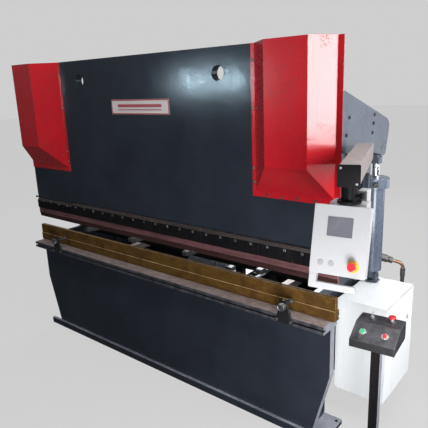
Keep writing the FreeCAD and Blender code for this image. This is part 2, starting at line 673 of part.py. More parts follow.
def cover_screws():
    screws = []
    for seat_at in cover_screw_seats():
        head = rod(seat_at, seat_at + FRONT * 5, 8).cut(
            hexagon(seat_at + FRONT * 2, seat_at + FRONT * 6, 6))
        screws.append(head.fuse(rod(seat_at, seat_at - FRONT * 2.9, 4)))
    return group(screws + [mirrored(s) for s in screws])


# ---- rocker shaft ---------------------------------------------------------------------------
SPACERS = [(599.0, 2117.0), (587.0, 2062.0), (573.0, 2003.0), (217.0, 2126.0), (181.0, 2024.0)]


def torsion_tube():
    end = ROCKER_X + CHEEK_GAP / 2 - 0.2
    return ring(V(-end, PIVOT_Y, PIVOT_Z), V(end, PIVOT_Y, PIVOT_Z), SHAFT_R, SHAFT_R - 14)


def rocker():
    cheek = [(110, 2295, 60), (824, 2077, 12), (876, 2040, 40), (827, 1843, 18), (794, 1823, 22),
             (599, 1872, 300), (330, 1890, 80), (150, 1925, 120), (NOSE_Y, NOSE_Z - 58, 40),
             (NOSE_Y - 57, NOSE_Z - 40, 45), (NOSE_Y - 45, NOSE_Z + 60, 50)]
    x0 = ROCKER_X - CHEEK_GAP / 2 - CHEEK_THICK
    x1 = ROCKER_X + CHEEK_GAP / 2
    inner = prism_x(cheek, x0, x0 + CHEEK_THICK)
    outer = prism_x(cheek, x1, x1 + CHEEK_THICK)
    parts = [inner.cut(rod(V(x0 - 1, PIVOT_Y, PIVOT_Z), V(x1, PIVOT_Y, PIVOT_Z), SHAFT_R)), outer]
    for y, z in SPACERS:
        parts.append(rod(V(x0 + 5, y, z), V(x1 + 5, y, z), 19))
    body = fuse(parts)
    for y, z in SPACERS:
        body = body.cut(rod(V(x0 - 1, y, z), V(x1 + CHEEK_THICK + 1, y, z), 8))
    body = body.cut(rod(V(x0 - 1, NOSE_Y, NOSE_Z), V(x1 + 30, NOSE_Y, NOSE_Z), NOSE_PIN_R))
    return body.cut(rod(V(x0 - 1, TAIL_Y, TAIL_Z), V(x1 + 30, TAIL_Y, TAIL_Z), TAIL_PIN_R))


def rocker_pins():
    x0 = ROCKER_X - CHEEK_GAP / 2 - CHEEK_THICK - 4
    x1 = ROCKER_X + CHEEK_GAP / 2 + CHEEK_THICK
    nose = rod(V(x0, NOSE_Y, NOSE_Z), V(x1, NOSE_Y, NOSE_Z), NOSE_PIN_R)
    tail = rod(V(x0, TAIL_Y, TAIL_Z), V(x1, TAIL_Y, TAIL_Z), TAIL_PIN_R)
    keeper = prism_x([(TAIL_Y - 30, TAIL_Z - 24, 4), (TAIL_Y - 30, TAIL_Z - 10, 4),
                      (TAIL_Y + 30, TAIL_Z - 10, 4), (TAIL_Y + 30, TAIL_Z - 24, 4)], x1, x1 + 6)
    return group([nose, fuse([tail, keeper]), mirrored(nose), mirrored(fuse([tail, keeper]))])


def piston_rod():
    low = V(ROCKER_X, CYL_Y, CYL_BOTTOM + 30)
    piston = rod(low, low + UP * 40, CYL_BORE_R - RUN_GAP)
    shaft = rod(low, V(ROCKER_X, CYL_Y, ROD_BLOCK_Z0 + 2), ROD_R)
    block = prism_z([(ROCKER_X - 31, CYL_Y - 31, 8), (ROCKER_X + 31, CYL_Y - 31, 8),
                     (ROCKER_X + 31, CYL_Y + 31, 8), (ROCKER_X - 31, CYL_Y + 31, 8)],
                    ROD_BLOCK_Z0, ROD_BLOCK_Z1)
    eye = prism_x([(CYL_Y - 36, ROD_BLOCK_Z1 - 2), (CYL_Y - 36, TAIL_Z + 40, 35),
                   (CYL_Y + 36, TAIL_Z + 40, 35), (CYL_Y + 36, ROD_BLOCK_Z1 - 2)],
                  ROCKER_X - 19.5, ROCKER_X + 19.5)
    half_w = TAIL_PIN_R + TAIL_DRIFT / 2 + 1
    half_h = TAIL_PIN_R + RUN_GAP
    sides = corners(CYL_Y - half_w, CYL_Y + half_w, TAIL_Z - half_h, TAIL_Z + half_h, half_h - 0.1)
    slot = prism_x(sides, ROCKER_X - 30, ROCKER_X + 30)
    return fuse([piston, shaft, block, eye]).cut(slot)


# ---- pendant on its swing arm ---------------------------------------------------------------
ARM_PIN_R = 13.0
ARM_PIN_Z0 = 1700.0


def arm_bracket():
    base = prism_x(corners(185, 313, 1680, 1800, 10), FRAME_OUT, FRAME_OUT + 14)
    bar = box(FRAME_OUT + 10, ARM_PIVOT.x, ARM_PIVOT.y - 27, ARM_PIVOT.y + 27, 1690, 1745)
    collar = rod(V(ARM_PIVOT.x, ARM_PIVOT.y, 1688), V(ARM_PIVOT.x, ARM_PIVOT.y, 1790), 35)
    bore = rod(V(ARM_PIVOT.x, ARM_PIVOT.y, ARM_PIN_Z0 - 1), V(ARM_PIVOT.x, ARM_PIVOT.y, 1800),
               ARM_PIN_R + RUN_GAP)
    seats = [V(FRAME_OUT + 14, y, z) for y in (202, 296) for z in (1697, 1783)]
    bolts = [hexagon(seat, seat + RIGHT * 8, 17) for seat in seats]
    return fuse([base, bar, collar] + bolts).cut(bore)


def arm():
    half = ARM_SIZE / 2
    tube = prism_y(corners(-half, half, ARM_Z, ARM_Z + ARM_SIZE, 5), -ARM_REACH, 23)
    inside = box(-half + 4, half - 4, -ARM_REACH - 1, 19, ARM_Z + 4, ARM_Z + ARM_SIZE - 4)
    pin = rod(V(0, 0, ARM_PIN_Z0 + 1), V(0, 0, ARM_Z + 6), ARM_PIN_R)
    washer = rod(V(0, 0, ARM_Z - 6), V(0, 0, ARM_Z + 1), 24)
    neck_bore = rod(V(0, -NECK_REACH, ARM_Z - 1), V(0, -NECK_REACH, ARM_Z + 5), 15 + RUN_GAP)
    local = fuse([tube.cut(inside).cut(neck_bore), pin, washer])
    return placed(local, ARM_PIVOT, ARM_YAW)


def arm_cap():
    half = ARM_SIZE / 2
    side = half + 3.5
    low = ARM_Z - 3.5
    high = ARM_Z + ARM_SIZE + 3.5
    plate = prism_y(corners(-side, side, low, high, 6), -ARM_REACH - 7, -ARM_REACH)
    plug = box(-half + 5, half - 5, -ARM_REACH - 1, -ARM_REACH + 12, ARM_Z + 5, ARM_Z + ARM_SIZE - 5)
    parts = [plate, plug]
    for a, z in ((-half + 12, ARM_Z + ARM_SIZE - 12), (half - 12, ARM_Z + 12)):
        head = rod(V(a, -ARM_REACH - 10, z), V(a, -ARM_REACH - 6, z), 5.5)
        parts.append(head)
    return placed(fuse(parts), ARM_PIVOT, ARM_YAW)


def neck_axis():
    turn = math.radians(ARM_YAW)
    return V(ARM_PIVOT.x + NECK_REACH * math.sin(turn), ARM_PIVOT.y - NECK_REACH * math.cos(turn), 0)


CASE_TOP = 1790.0


def pendant_swivel():
    at = neck_axis()
    disc = rod(at + UP * CASE_TOP, at + UP * (CASE_TOP + 10), 56)
    neck = rod(at + UP * (CASE_TOP + 8), at + UP * (ARM_Z - 6), 37.5)
    flange = rod(at + UP * (ARM_Z - 12), at + UP * (ARM_Z - RUN_GAP), 44)
    pin = rod(at + UP * (ARM_Z - 2), at + UP * (ARM_Z + 16), 15)
    lever_at = at + UP * (CASE_TOP + 36)
    lever = rod(lever_at + RIGHT * 30, lever_at + RIGHT * 52, 7)
    knob = rod(lever_at + RIGHT * 50, lever_at + RIGHT * 70, 13)
    return fuse([disc, neck, flange, pin, lever, knob])


def on_panel(shape):
    return placed(shape, PENDANT_FOOT, PENDANT_YAW, PENDANT_LEAN)


def handle_bar():
    """Grip bar under the panel, hung from its left corner."""
    half = PANEL_W / 2
    return prism_y([(-half, -72, 8), (92, -72, 14), (92, -42, 14), (-half + 35, -42, 4), (-half + 35, 4),
                    (-half, 4)], 6, 34)


def pendant_case():
    half = PANEL_W / 2
    w = PANEL_WALL
    panel = prism_y([(-half, 0, 6), (half, 0, 6), (half, PANEL_H, 6), (-half, PANEL_H, 6)], 0, PANEL_T)
    hollow = box(-half + w, half - w, w, PANEL_T - w, w, PANEL_H - w)
    stem = rod(V(ESTOP_A, -1, ESTOP_U), V(ESTOP_A, 5, ESTOP_U), 11 + RUN_GAP)
    panel = panel.cut(hollow).cut(stem)
    for a in (-79.0, -28.0):
        panel = panel.cut(rod(V(a, -1, ESTOP_U), V(a, 5, ESTOP_U), 11))
    panel = on_panel(panel)
    turn = math.radians(PENDANT_YAW)
    at = neck_axis() - PENDANT_FOOT
    a_mid = at.x * math.cos(turn) + at.y * math.sin(turn)
    top = CASE_TOP - PENDANT_FOOT.z
    rear = prism_x([(62, 66), (196, 66), (196, top), (119, top)], a_mid - 85, a_mid + 85)
    cable_box = box(a_mid + 22, a_mid + 66, 190, 262, top - 90, top + 46)
    rear = fuse([rear, cable_box])
    return fuse([panel, placed(rear, PENDANT_FOOT, PENDANT_YAW), on_panel(handle_bar())])


def pendant_screen():
    bezel = prism_y([(-62, 181, 2), (57, 181, 2), (57, 272, 2), (-62, 272, 2)], -1.5, 0)
    return on_panel(bezel)


def pendant_fittings():
    """Two blanking plugs and the ring plate under the emergency stop."""
    fittings = []
    for a in (-79.0, -28.0):
        face = rod(V(a, -1.5, ESTOP_U), V(a, 0, ESTOP_U), 14)
        stem = rod(V(a, 0, ESTOP_U), V(a, 8, ESTOP_U), 11)
        fittings.append(on_panel(fuse([face, stem])))
    fittings.append(on_panel(ring(V(ESTOP_A, -2.5, ESTOP_U), V(ESTOP_A, 0, ESTOP_U), 28, 11 + RUN_GAP)))
    return group(fittings)


def mushroom(a, b, z, out, cap_r, travel):
    """Mushroom head on a stem: (a, b, z) is on the panel's face, out points to the operator."""
    base = V(a, b, z)
    stem = rod(base - out * 14, base + out * 20, 11)
    skirt = rod(base + out * (3 + travel), base + out * 18, cap_r * 0.72)
    cap = rod(base + out * 16, base + out * 31, cap_r)
    cap = cap.makeFillet(3.5, [e for e in cap.Edges if e.Curve.TypeId == "Part::GeomCircle"])
    return fuse([stem, skirt, cap])


def pendant_estop():
    return on_panel(mushroom(ESTOP_A, 0, ESTOP_U, FRONT, 20, 5))


# ---- control stand --------------------------------------------------------------------------
def on_stand(shape):
    return placed(shape, STAND_AT, STAND_YAW)


SLOPE_OUT = V(0, -STAND_DROP, STAND_DEPTH - STAND_FLAT).normalize()
SLOPE_MID = V(0, -(STAND_FLAT + STAND_DEPTH) / 2, STAND_TOP - STAND_DROP / 2)
STAND_WALL = 3.0
BUTTON_R = 11.0
COLLAR_R = 19.0


def stand_profile(inset):
    top = STAND_TOP - inset
    bottom = STAND_TOP - STAND_DROP - STAND_LIP + inset
    return [(-inset, bottom), (-inset, top), (-STAND_FLAT - inset * 0.2, top),
            (-STAND_DEPTH + inset, STAND_TOP - STAND_DROP - inset * 0.6), (-STAND_DEPTH + inset, bottom)]


def button_spots():
    """Seats of the four controls: name -> (point on the box's face, outward direction)."""
    return {"green": (SLOPE_MID + V(-66, 0, 0), SLOPE_OUT), "red": (SLOPE_MID + V(53, 0, 0), SLOPE_OUT),
            "key": (V(-50, -50, STAND_TOP), UP), "mushroom": (V(57, -46, STAND_TOP), UP)}


def stand_box():
    body = prism_x(stand_profile(0), -STAND_W / 2, STAND_W / 2)
    body = body.cut(prism_x(stand_profile(STAND_WALL), -STAND_W / 2 + STAND_WALL, STAND_W / 2 - STAND_WALL))
    parts = [body]
    for seat, out in button_spots().values():
        parts.append(rod(seat - out * 1, seat + out * 3, COLLAR_R))
    body = fuse(parts)
    for seat, out in button_spots().values():
        body = body.cut(rod(seat - out * 6, seat + out * 5, BUTTON_R + RUN_GAP))
    for a in (-STAND_W / 2 + 12, STAND_W / 2 - 12):
        spot = V(a, -STAND_DEPTH, STAND_TOP - STAND_DROP - STAND_LIP / 2)
        body = body.fuse(rod(spot, spot + FRONT * 2, 3.5))
    return on_stand(body)


def push_button(name):
    seat, out = button_spots()[name]
    face = rod(seat + out * (3 + 0.3), seat + out * 12, BUTTON_R)
    stem = rod(seat - out * 14, seat + out * 4, BUTTON_R)
    return on_stand(fuse([face, stem]))


def stand_mushroom():
    seat, out = button_spots()["mushroom"]
    stem = rod(seat - out * 14, seat + out * 22, BUTTON_R)
    cap = rod(seat + out * 20, seat + out * 34, 20)
    cap = cap.makeFillet(3.5, [e for e in cap.Edges if e.Curve.TypeId == "Part::GeomCircle"])
    return on_stand(fuse([stem, cap]))


def stand_key():
    seat, out = button_spots()["key"]
    barrel = rod(seat - out * 14, seat + out * 12, BUTTON_R)
    slot = box(seat.x - 1, seat.x + 1, seat.y - 6, seat.y + 6, seat.z + 9, seat.z + 14)
    blade = box(seat.x - 0.9, seat.x + 0.9, seat.y - 5, seat.y + 5, seat.z + 9, seat.z + 20)
    sides = [(seat.y - 12, seat.z + 19, 4), (seat.y - 12, seat.z + 40, 8),
             (seat.y + 12, seat.z + 40, 8), (seat.y + 12, seat.z + 19, 4)]
    bow = prism_x(sides, seat.x - 1.1, seat.x + 1.1)
    return on_stand(fuse([barrel.cut(slot), blade, bow]))


POST_HALF = 25.0
POST_MID_B = -115.0


def stand_post():
    base = prism_z([(-170, -330, 20), (170, -330, 20), (170, 60, 20), (-170, 60, 20)], 0, 10)
    b = POST_MID_B
    post = box(-POST_HALF, POST_HALF, b - POST_HALF, b + POST_HALF, 9, STAND_TOP - STAND_DROP - STAND_LIP)
    inside = box(-POST_HALF + 3, POST_HALF - 3, b - POST_HALF + 3, b + POST_HALF - 3, 12, 1000)
    ears = [box(s - 4, s + 4, -170, -140, 9, 52) for s in (-88, 88)]
    body = fuse([base, post.cut(inside)] + ears)
    return on_stand(body.cut(rod(V(-100, -155, 38), V(100, -155, 38), 5)))


def foot_pedal():
    tread = prism_x([(-300, 50, 4), (-300, 58, 4), (-143, 46, 3), (-143, 34, 3)], -80, 80)
    ribs = [box(-80, 80, -290 + 24 * k, -286 + 24 * k, 50 - 2 * k, 60 - 2 * k) for k in range(6)]
    axle = rod(V(-92.5, -155, 38), V(92.5, -155, 38), 5 - RUN_GAP)
    return on_stand(fuse([tread, axle] + ribs))


# ---- front stops ----------------------------------------------------------------------------
def front_stop(x):
    y1 = TABLE_FRONT - RUN_GAP
    y0 = y1 - 12
    plate = prism_y([(x - 66, 860, 10), (x - 18, STOP_AXIS_Z + 36, 17), (x + 18, STOP_AXIS_Z + 36, 17),
                     (x + 66, 860, 10)], y0, y1)
    nose = rod(V(x, y0 - 8, STOP_AXIS_Z), V(x, y1 + 14, STOP_AXIS_Z), 17)
    parts = [plate, nose]
    for bolt_x in (x - 50, x + 50):
        spot = V(bolt_x, y0, TABLE_BOTTOM + 27)
        parts.append(rod(spot, spot + V(0, -10, 0), 9))
        parts.append(rod(spot, V(bolt_x, TABLE_FRONT + 16, TABLE_BOTTOM + 27), 5))
        parts.append(box(bolt_x - 10, bolt_x + 10, TABLE_FRONT + 12.5, TABLE_FRONT + 20.5,
                         TABLE_BOTTOM + 17, TABLE_BOTTOM + 37))
    bore = rod(V(x, y0 - 20, STOP_AXIS_Z), V(x, y1 + 20, STOP_AXIS_Z), 8 + RUN_GAP)
    return fuse(parts).cut(bore)


def stop_spindle(x):
    y0 = TABLE_FRONT - 12 - RUN_GAP
    knob = rod(V(x, y0 - 34, STOP_AXIS_Z), V(x, y0 - 8 - RUN_GAP, STOP_AXIS_Z), 24)
    rim = ring(V(x, y0 - 38, STOP_AXIS_Z), V(x, y0 - 32, STOP_AXIS_Z), 24, 20)
    spindle = rod(V(x, y0 - 12, STOP_AXIS_Z), V(x, -40, STOP_AXIS_Z), 8)
    tip = hexagon(V(x, -58, STOP_AXIS_Z), V(x, -40, STOP_AXIS_Z), 30)
    knurls = []
    for k in range(24):
        turn = math.radians(15 * k)
        spot = V(x + 24 * math.cos(turn), y0 - 34, STOP_AXIS_Z + 24 * math.sin(turn))
        knurls.append(rod(spot, spot + V(0, 24, 0), 1.4))
    return fuse([knob, rim, spindle, tip]).cut(group(knurls))


# ---- back gauge -----------------------------------------------------------------------------
def gauge_rails():
    rail = box(GAUGE_RAIL_X - 30, GAUGE_RAIL_X + 30, BED_BACK, 860, GAUGE_RAIL_TOP - 60, GAUGE_RAIL_TOP)
    block = box(GAUGE_SCREW_X - 30, GAUGE_SCREW_X + 30, BED_BACK, 80,
                GAUGE_SCREW_Z - 30, GAUGE_SCREW_Z + 30)
    bore = rod(V(GAUGE_SCREW_X, 59, GAUGE_SCREW_Z), V(GAUGE_SCREW_X, 81, GAUGE_SCREW_Z), 10 + RUN_GAP)
    return group([rail, mirrored(rail), block.cut(bore)])


def gauge_motor():
    body = box(GAUGE_SCREW_X - 45, GAUGE_SCREW_X + 45, 790, 860, GAUGE_SCREW_Z - 45, GAUGE_SCREW_Z + 45)
    nose = rod(V(GAUGE_SCREW_X, 770, GAUGE_SCREW_Z), V(GAUGE_SCREW_X, 792, GAUGE_SCREW_Z), 30)
    bore = rod(V(GAUGE_SCREW_X, 769, GAUGE_SCREW_Z), V(GAUGE_SCREW_X, 791, GAUGE_SCREW_Z), 10 + RUN_GAP)
    return fuse([body, nose]).cut(bore)


def gauge_screw():
    thin0 = rod(V(GAUGE_SCREW_X, 60, GAUGE_SCREW_Z), V(GAUGE_SCREW_X, 82, GAUGE_SCREW_Z), 10)
    main = rod(V(GAUGE_SCREW_X, 81, GAUGE_SCREW_Z), V(GAUGE_SCREW_X, 769, GAUGE_SCREW_Z), 14)
    thin1 = rod(V(GAUGE_SCREW_X, 768, GAUGE_SCREW_Z), V(GAUGE_SCREW_X, 790, GAUGE_SCREW_Z), 10)
    starts = [V(GAUGE_SCREW_X, 100 + 20 * k, GAUGE_SCREW_Z) for k in range(33)]
    grooves = [ring(start, start - FRONT * 4, 15, 12.5) for start in starts]
    return fuse([thin0, main, thin1]).cut(group(grooves))


def gauge_beam():
    y0 = GAUGE_Y
    y1 = GAUGE_Y + 70
    beam = box(-1250, 1250, y0, y1, 950, 1010)
    parts = [beam]
    for x in (-GAUGE_RAIL_X, GAUGE_RAIL_X):
        parts.append(box(x - 45, x + 45, y0 - 15, y1 + 15, GAUGE_RAIL_TOP + RUN_GAP, GAUGE_RAIL_TOP + 30))
        parts.append(box(x - 12, x + 12, y0, y1, GAUGE_RAIL_TOP + 28, 955))
        for s in (-1, 1):
            a = x + s * (30 + RUN_GAP)
            b = x + s * 45
            parts.append(box(min(a, b), max(a, b), y0 - 15, y1 + 15,
                             GAUGE_RAIL_TOP - 40, GAUGE_RAIL_TOP + 2))
    leg = box(GAUGE_SCREW_X - 32, GAUGE_SCREW_X + 32, y0 + 10, y1 - 10, GAUGE_SCREW_Z - 30, 955)
    parts.append(leg)
    bore = rod(V(GAUGE_SCREW_X, y0, GAUGE_SCREW_Z), V(GAUGE_SCREW_X, y1, GAUGE_SCREW_Z), 14 + RUN_GAP)
    return fuse(parts).cut(bore)


FINGER_X = [-1010.0, -390.0, 250.0, 955.0]


def gauge_fingers():
    fingers = []
    for x in FINGER_X:
        slide = box(x - 60, x + 60, GAUGE_Y - 14, GAUGE_Y + 84, 1010, 1032)
        stem = box(x - 22, x + 22, 160, GAUGE_Y + 60, 1032, 1058)
        tip = prism_x([(92, 1046, 1), (92, 1074, 1), (104, 1078), (150, 1078),
                       (170, 1058), (170, 1040), (104, 1040)], x - 22, x + 22)
        knob = rod(V(x + 22, 300, 1045), V(x + 46, 300, 1045), 14)
        fingers.append(fuse([slide, stem, tip, knob]))
    return group(fingers)


# ---- all nodes ------------------------------------------------------------------------------
def build():
    right_frame = side_frame()
    right_cylinder = cylinder()
    right_cover = cover()
    right_rocker = rocker()
    right_rod = piston_rod()
    right_pipe = port_pipe()
    return {
        "side_frame_right": right_frame,
        "side_frame_left": mirrored(right_frame),
        "bed_plate": bed_plate(),
        "feet": feet(),
        "table_rail": table_rail(),
        "rear_beams": rear_beams(),
        "die": die(),
        "shaft_bearings": shaft_bearings(),
        "ram_gibs": ram_gibs(),
        "cylinder_right": right_cylinder,
        "cylinder_left": mirrored(right_cylinder),
        "cylinder_brackets": cylinder_brackets(),
        "oil_tank": oil_tank(),
        "pump_motor": pump_motor(),
        "valve_block": valve_block(),
        "port_pipes": both_sides(right_pipe),
        "hoses": hoses(),
        "cabinet_body": cabinet_body(),
        "cabinet_door": cabinet_door(),
        "door_latch": door_latch(),
        "ram_plate": ram_plate(),
        "ram_shoes": ram_shoes(),
        "ram_yokes": ram_yokes(),
        "clamp_strips": clamp_strips(),
        "clamp_bolts": clamp_bolts(),
        "punch": punch(),
        "nameplate": nameplate(),
        "cover_right": right_cover,
        "cover_left": mirrored(right_cover),
        "cover_screws": cover_screws(),
        "torsion_tube": torsion_tube(),
        "rocker_right": right_rocker,
        "rocker_left": mirrored(right_rocker),
        "rocker_pins": rocker_pins(),
        "piston_rod_right": right_rod,
        "piston_rod_left": mirrored(right_rod),
        "arm_bracket": arm_bracket(),
        "arm": arm(),
        "arm_cap": arm_cap(),
        "pendant_swivel": pendant_swivel(),
        "pendant_case": pendant_case(),
        "pendant_screen": pendant_screen(),
        "pendant_fittings": pendant_fittings(),
        "pendant_estop": pendant_estop(),
        "stand_post": stand_post(),
        "stand_box": stand_box(),
        "stand_button_green": push_button("green"),
        "stand_button_red": push_button("red"),
        "stand_mushroom": stand_mushroom(),
        "stand_key": stand_key(),
        "foot_pedal": foot_pedal(),
        "front_stop_left": front_stop(STOP_LEFT_X),
        "front_stop_right": front_stop(STOP_RIGHT_X),
        "stop_spindle_left": stop_spindle(STOP_LEFT_X),
        "stop_spindle_right": stop_spindle(STOP_RIGHT_X),
        "gauge_rails": gauge_rails(),
        "gauge_motor": gauge_motor(),
        "gauge_screw": gauge_screw(),
        "gauge_beam": gauge_beam(),
        "gauge_fingers": gauge_fingers(),
    }


os.makedirs("parts", exist_ok=True)
for name, shape in build().items():
    shape.exportStep("parts/" + name + ".step")
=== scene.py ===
import math

import bmesh
import bpy
from mathutils import Matrix, Vector


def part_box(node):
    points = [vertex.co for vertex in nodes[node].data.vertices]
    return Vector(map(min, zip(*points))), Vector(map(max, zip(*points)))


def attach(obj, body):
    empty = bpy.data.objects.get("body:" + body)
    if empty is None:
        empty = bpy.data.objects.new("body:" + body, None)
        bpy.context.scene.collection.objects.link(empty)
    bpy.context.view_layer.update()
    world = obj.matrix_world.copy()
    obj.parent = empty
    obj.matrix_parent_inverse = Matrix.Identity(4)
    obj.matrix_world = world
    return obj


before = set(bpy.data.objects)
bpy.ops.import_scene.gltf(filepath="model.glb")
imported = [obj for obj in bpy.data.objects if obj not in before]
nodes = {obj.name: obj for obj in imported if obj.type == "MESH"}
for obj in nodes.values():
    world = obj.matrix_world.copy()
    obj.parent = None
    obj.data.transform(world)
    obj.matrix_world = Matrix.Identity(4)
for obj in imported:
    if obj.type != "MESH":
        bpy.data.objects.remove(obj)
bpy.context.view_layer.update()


# ---- material building ----------------------------------------------------------------------
FLAT_DOT, TURNED_DOT = 0.995, 0.80     # true normal against rounded normal: on a flat face, on an edge
BEVEL_SAMPLES = 4


def is_socket(value):
    """Whether a value is a node's output, rather than a number or a colour."""
    return hasattr(value, "is_output")


def rgba(value):
    """A colour socket as it is, or three numbers as an opaque colour."""
    return value if is_socket(value) else (*value, 1.0)


def lighter(color, factor, lift=0.0):
    """A colour scaled up and lifted, no further than white."""
    return [min(1.0, c * factor + lift) for c in color]


def darker(color, factor):
    """A colour scaled down."""
    return [c * factor for c in color]


class Mat:
    """A material under construction: short names for the nodes that every finish uses."""

    def __init__(self, name):
        self.mat = bpy.data.materials.new(name)
        self.mat.use_nodes = True
        self.tree = self.mat.node_tree
        self.tree.nodes.clear()
        out = self.tree.nodes.new("ShaderNodeOutputMaterial")
        self.bsdf = self.tree.nodes.new("ShaderNodeBsdfPrincipled")
        self.link(self.bsdf.outputs[0], out.inputs[0])
        self.coord = self.tree.nodes.new("ShaderNodeTexCoord").outputs["Object"]

    def link(self, a, b):
        self.tree.links.new(a, b)

    def feed(self, socket, value):
        if is_socket(value):
            self.link(value, socket)
        else:
            socket.default_value = value

    def node(self, kind, inputs, out=0, **props):
        """A new node with its properties and inputs set. Gives the output that is asked for."""
        n = self.tree.nodes.new(kind)
        for key, value in props.items():
            setattr(n, key, value)
        for key, value in inputs.items():
            self.feed(n.inputs[key], value)
        return n.outputs[out]

    def stretched(self, x, y, z):
        return self.node("ShaderNodeMapping", {"Vector": self.coord, "Scale": (x, y, z)})

    def noise(self, scale, detail, rough, vector=None, distort=0.0):
        inputs = {"Vector": vector or self.coord, "Scale": scale, "Detail": detail, "Roughness": rough,
                  "Distortion": distort}
        return self.node("ShaderNodeTexNoise", inputs)

    def cells(self, scale):
        return self.node("ShaderNodeTexVoronoi", {"Vector": self.coord, "Scale": scale})

    def calc(self, op, a, b):
        return self.node("ShaderNodeMath", {0: a, 1: b}, operation=op)

    def span(self, value, low, high, to_low=0.0, to_high=1.0):
        """Maps low..high to to_low..to_high, clamped."""
        inputs = {"Value": value, "From Min": low, "From Max": high, "To Min": to_low, "To Max": to_high}
        return self.node("ShaderNodeMapRange", inputs)

    def mix(self, fac, a, b):
        """Colour a where fac is 0, b where it is 1. Sockets 6, 7 and output 2 are the node's colours."""
        return self.node("ShaderNodeMix", {0: fac, 6: rgba(a), 7: rgba(b)}, out=2, data_type="RGBA")

    def edges(self, radius):
        """0 on flat faces, up to 1 where the surface turns within radius. Keeps the rounded normal."""
        self.rounded = self.node("ShaderNodeBevel", {"Radius": radius}, samples=BEVEL_SAMPLES)
        true_normal = self.node("ShaderNodeNewGeometry", {}, out="Normal")
        same = self.node("ShaderNodeVectorMath", {0: self.rounded, 1: true_normal}, out="Value",
                         operation="DOT_PRODUCT")
        return self.span(same, FLAT_DOT, TURNED_DOT)

    def bump(self, height, strength, distance, normal):
        inputs = {"Height": height, "Strength": strength, "Distance": distance, "Normal": normal}
        return self.node("ShaderNodeBump", inputs)

    def finish(self, color, rough, normal=None, metallic=0.0, coat=0.0, coat_rough=0.1, specular=0.5,
               tint=(1.0, 1.0, 1.0)):
        """Sets the shader's inputs and gives the finished material."""
        b = self.bsdf.inputs
        self.feed(b["Base Color"], rgba(color))
        self.feed(b["Roughness"], rough)
        self.feed(b["Metallic"], metallic)
        b["Specular IOR Level"].default_value = specular
        self.feed(b["Coat Weight"], coat)
        b["Coat Roughness"].default_value = coat_rough
        b["Specular Tint"].default_value = (*tint, 1.0)
        if normal is not None:
            self.link(normal, b["Normal"])
        return self.mat


def paint(name, color, rough=0.35, wear=(0.30, 0.29, 0.28), wear_amount=0.55, mottle=0.35, coat=0.3,
          coat_rough=0.12, dirt=(0.05, 0.045, 0.04), dirt_amount=0.25, specular=0.5, waves=0.0012,
          tint=(1.0, 1.0, 1.0), speck_amount=0.18, spatter=0.0, broad_scale=2.3):
    """Sprayed enamel on steel: orange peel, slow waves of the plate, dust, scuffs and chipped edges."""
    m = Mat(name)
    broad = m.noise(broad_scale, 5, 0.6)
    grain = m.noise(34, 4, 0.6)
    fine = m.noise(420, 2, 0.5)
    specks = m.span(m.noise(190, 3, 0.75), 0.66, 0.74)
    streak = m.noise(1.0, 5, 0.7, m.stretched(26, 26, 1.6))
    shade = m.mix(m.span(broad, 0.3, 0.7), darker(color, 1 - mottle * 0.5),
                  lighter(color, 1 + mottle * 0.5, 0.002))
    grime = m.calc("MULTIPLY", m.span(streak, 0.50, 0.78), dirt_amount)
    shade = m.mix(grime, shade, dirt)
    shade = m.mix(m.calc("MULTIPLY", specks, speck_amount), shade, wear)
    worn = m.calc("MULTIPLY", m.edges(0.004), m.span(m.noise(17, 5, 0.7), 0.44, 0.60))
    scratch = m.span(m.noise(1.0, 3, 0.5, m.stretched(6, 70, 220), 0.4), 0.70, 0.73)
    scratch = m.calc("MULTIPLY", scratch, m.span(m.noise(3.1, 3, 0.5), 0.52, 0.62))
    if spatter:
        drops = m.span(m.cells(80), 0.42, 0.28)
        drops = m.calc("MULTIPLY", drops, m.span(m.noise(5, 5, 0.7), 0.50, 0.56))
        drops = m.calc("MULTIPLY", drops, spatter)
        shade = m.mix(drops, shade, dirt)
    bare = m.calc("MULTIPLY", m.calc("MAXIMUM", worn, m.calc("MULTIPLY", scratch, 0.5)), wear_amount)
    shade = m.mix(bare, shade, wear)
    rough_out = m.calc("ADD", m.span(grain, 0.3, 0.7, rough * 0.85, rough * 1.2),
                       m.calc("MULTIPLY", grime, 0.35))
    if spatter:
        rough_out = m.calc("ADD", rough_out, m.calc("MULTIPLY", drops, 0.4))
        coat = m.calc("MULTIPLY", m.calc("SUBTRACT", 1.0, drops), coat)
    height = m.calc("ADD", m.calc("MULTIPLY", fine, 0.12), m.calc("MULTIPLY", grain, 0.6))
    normal = m.bump(broad, 0.35, waves * 6, m.rounded)
    normal = m.bump(height, 0.35, waves, normal)
    return m.finish(shade, rough_out, normal, coat=coat, coat_rough=coat_rough, specular=specular, tint=tint)


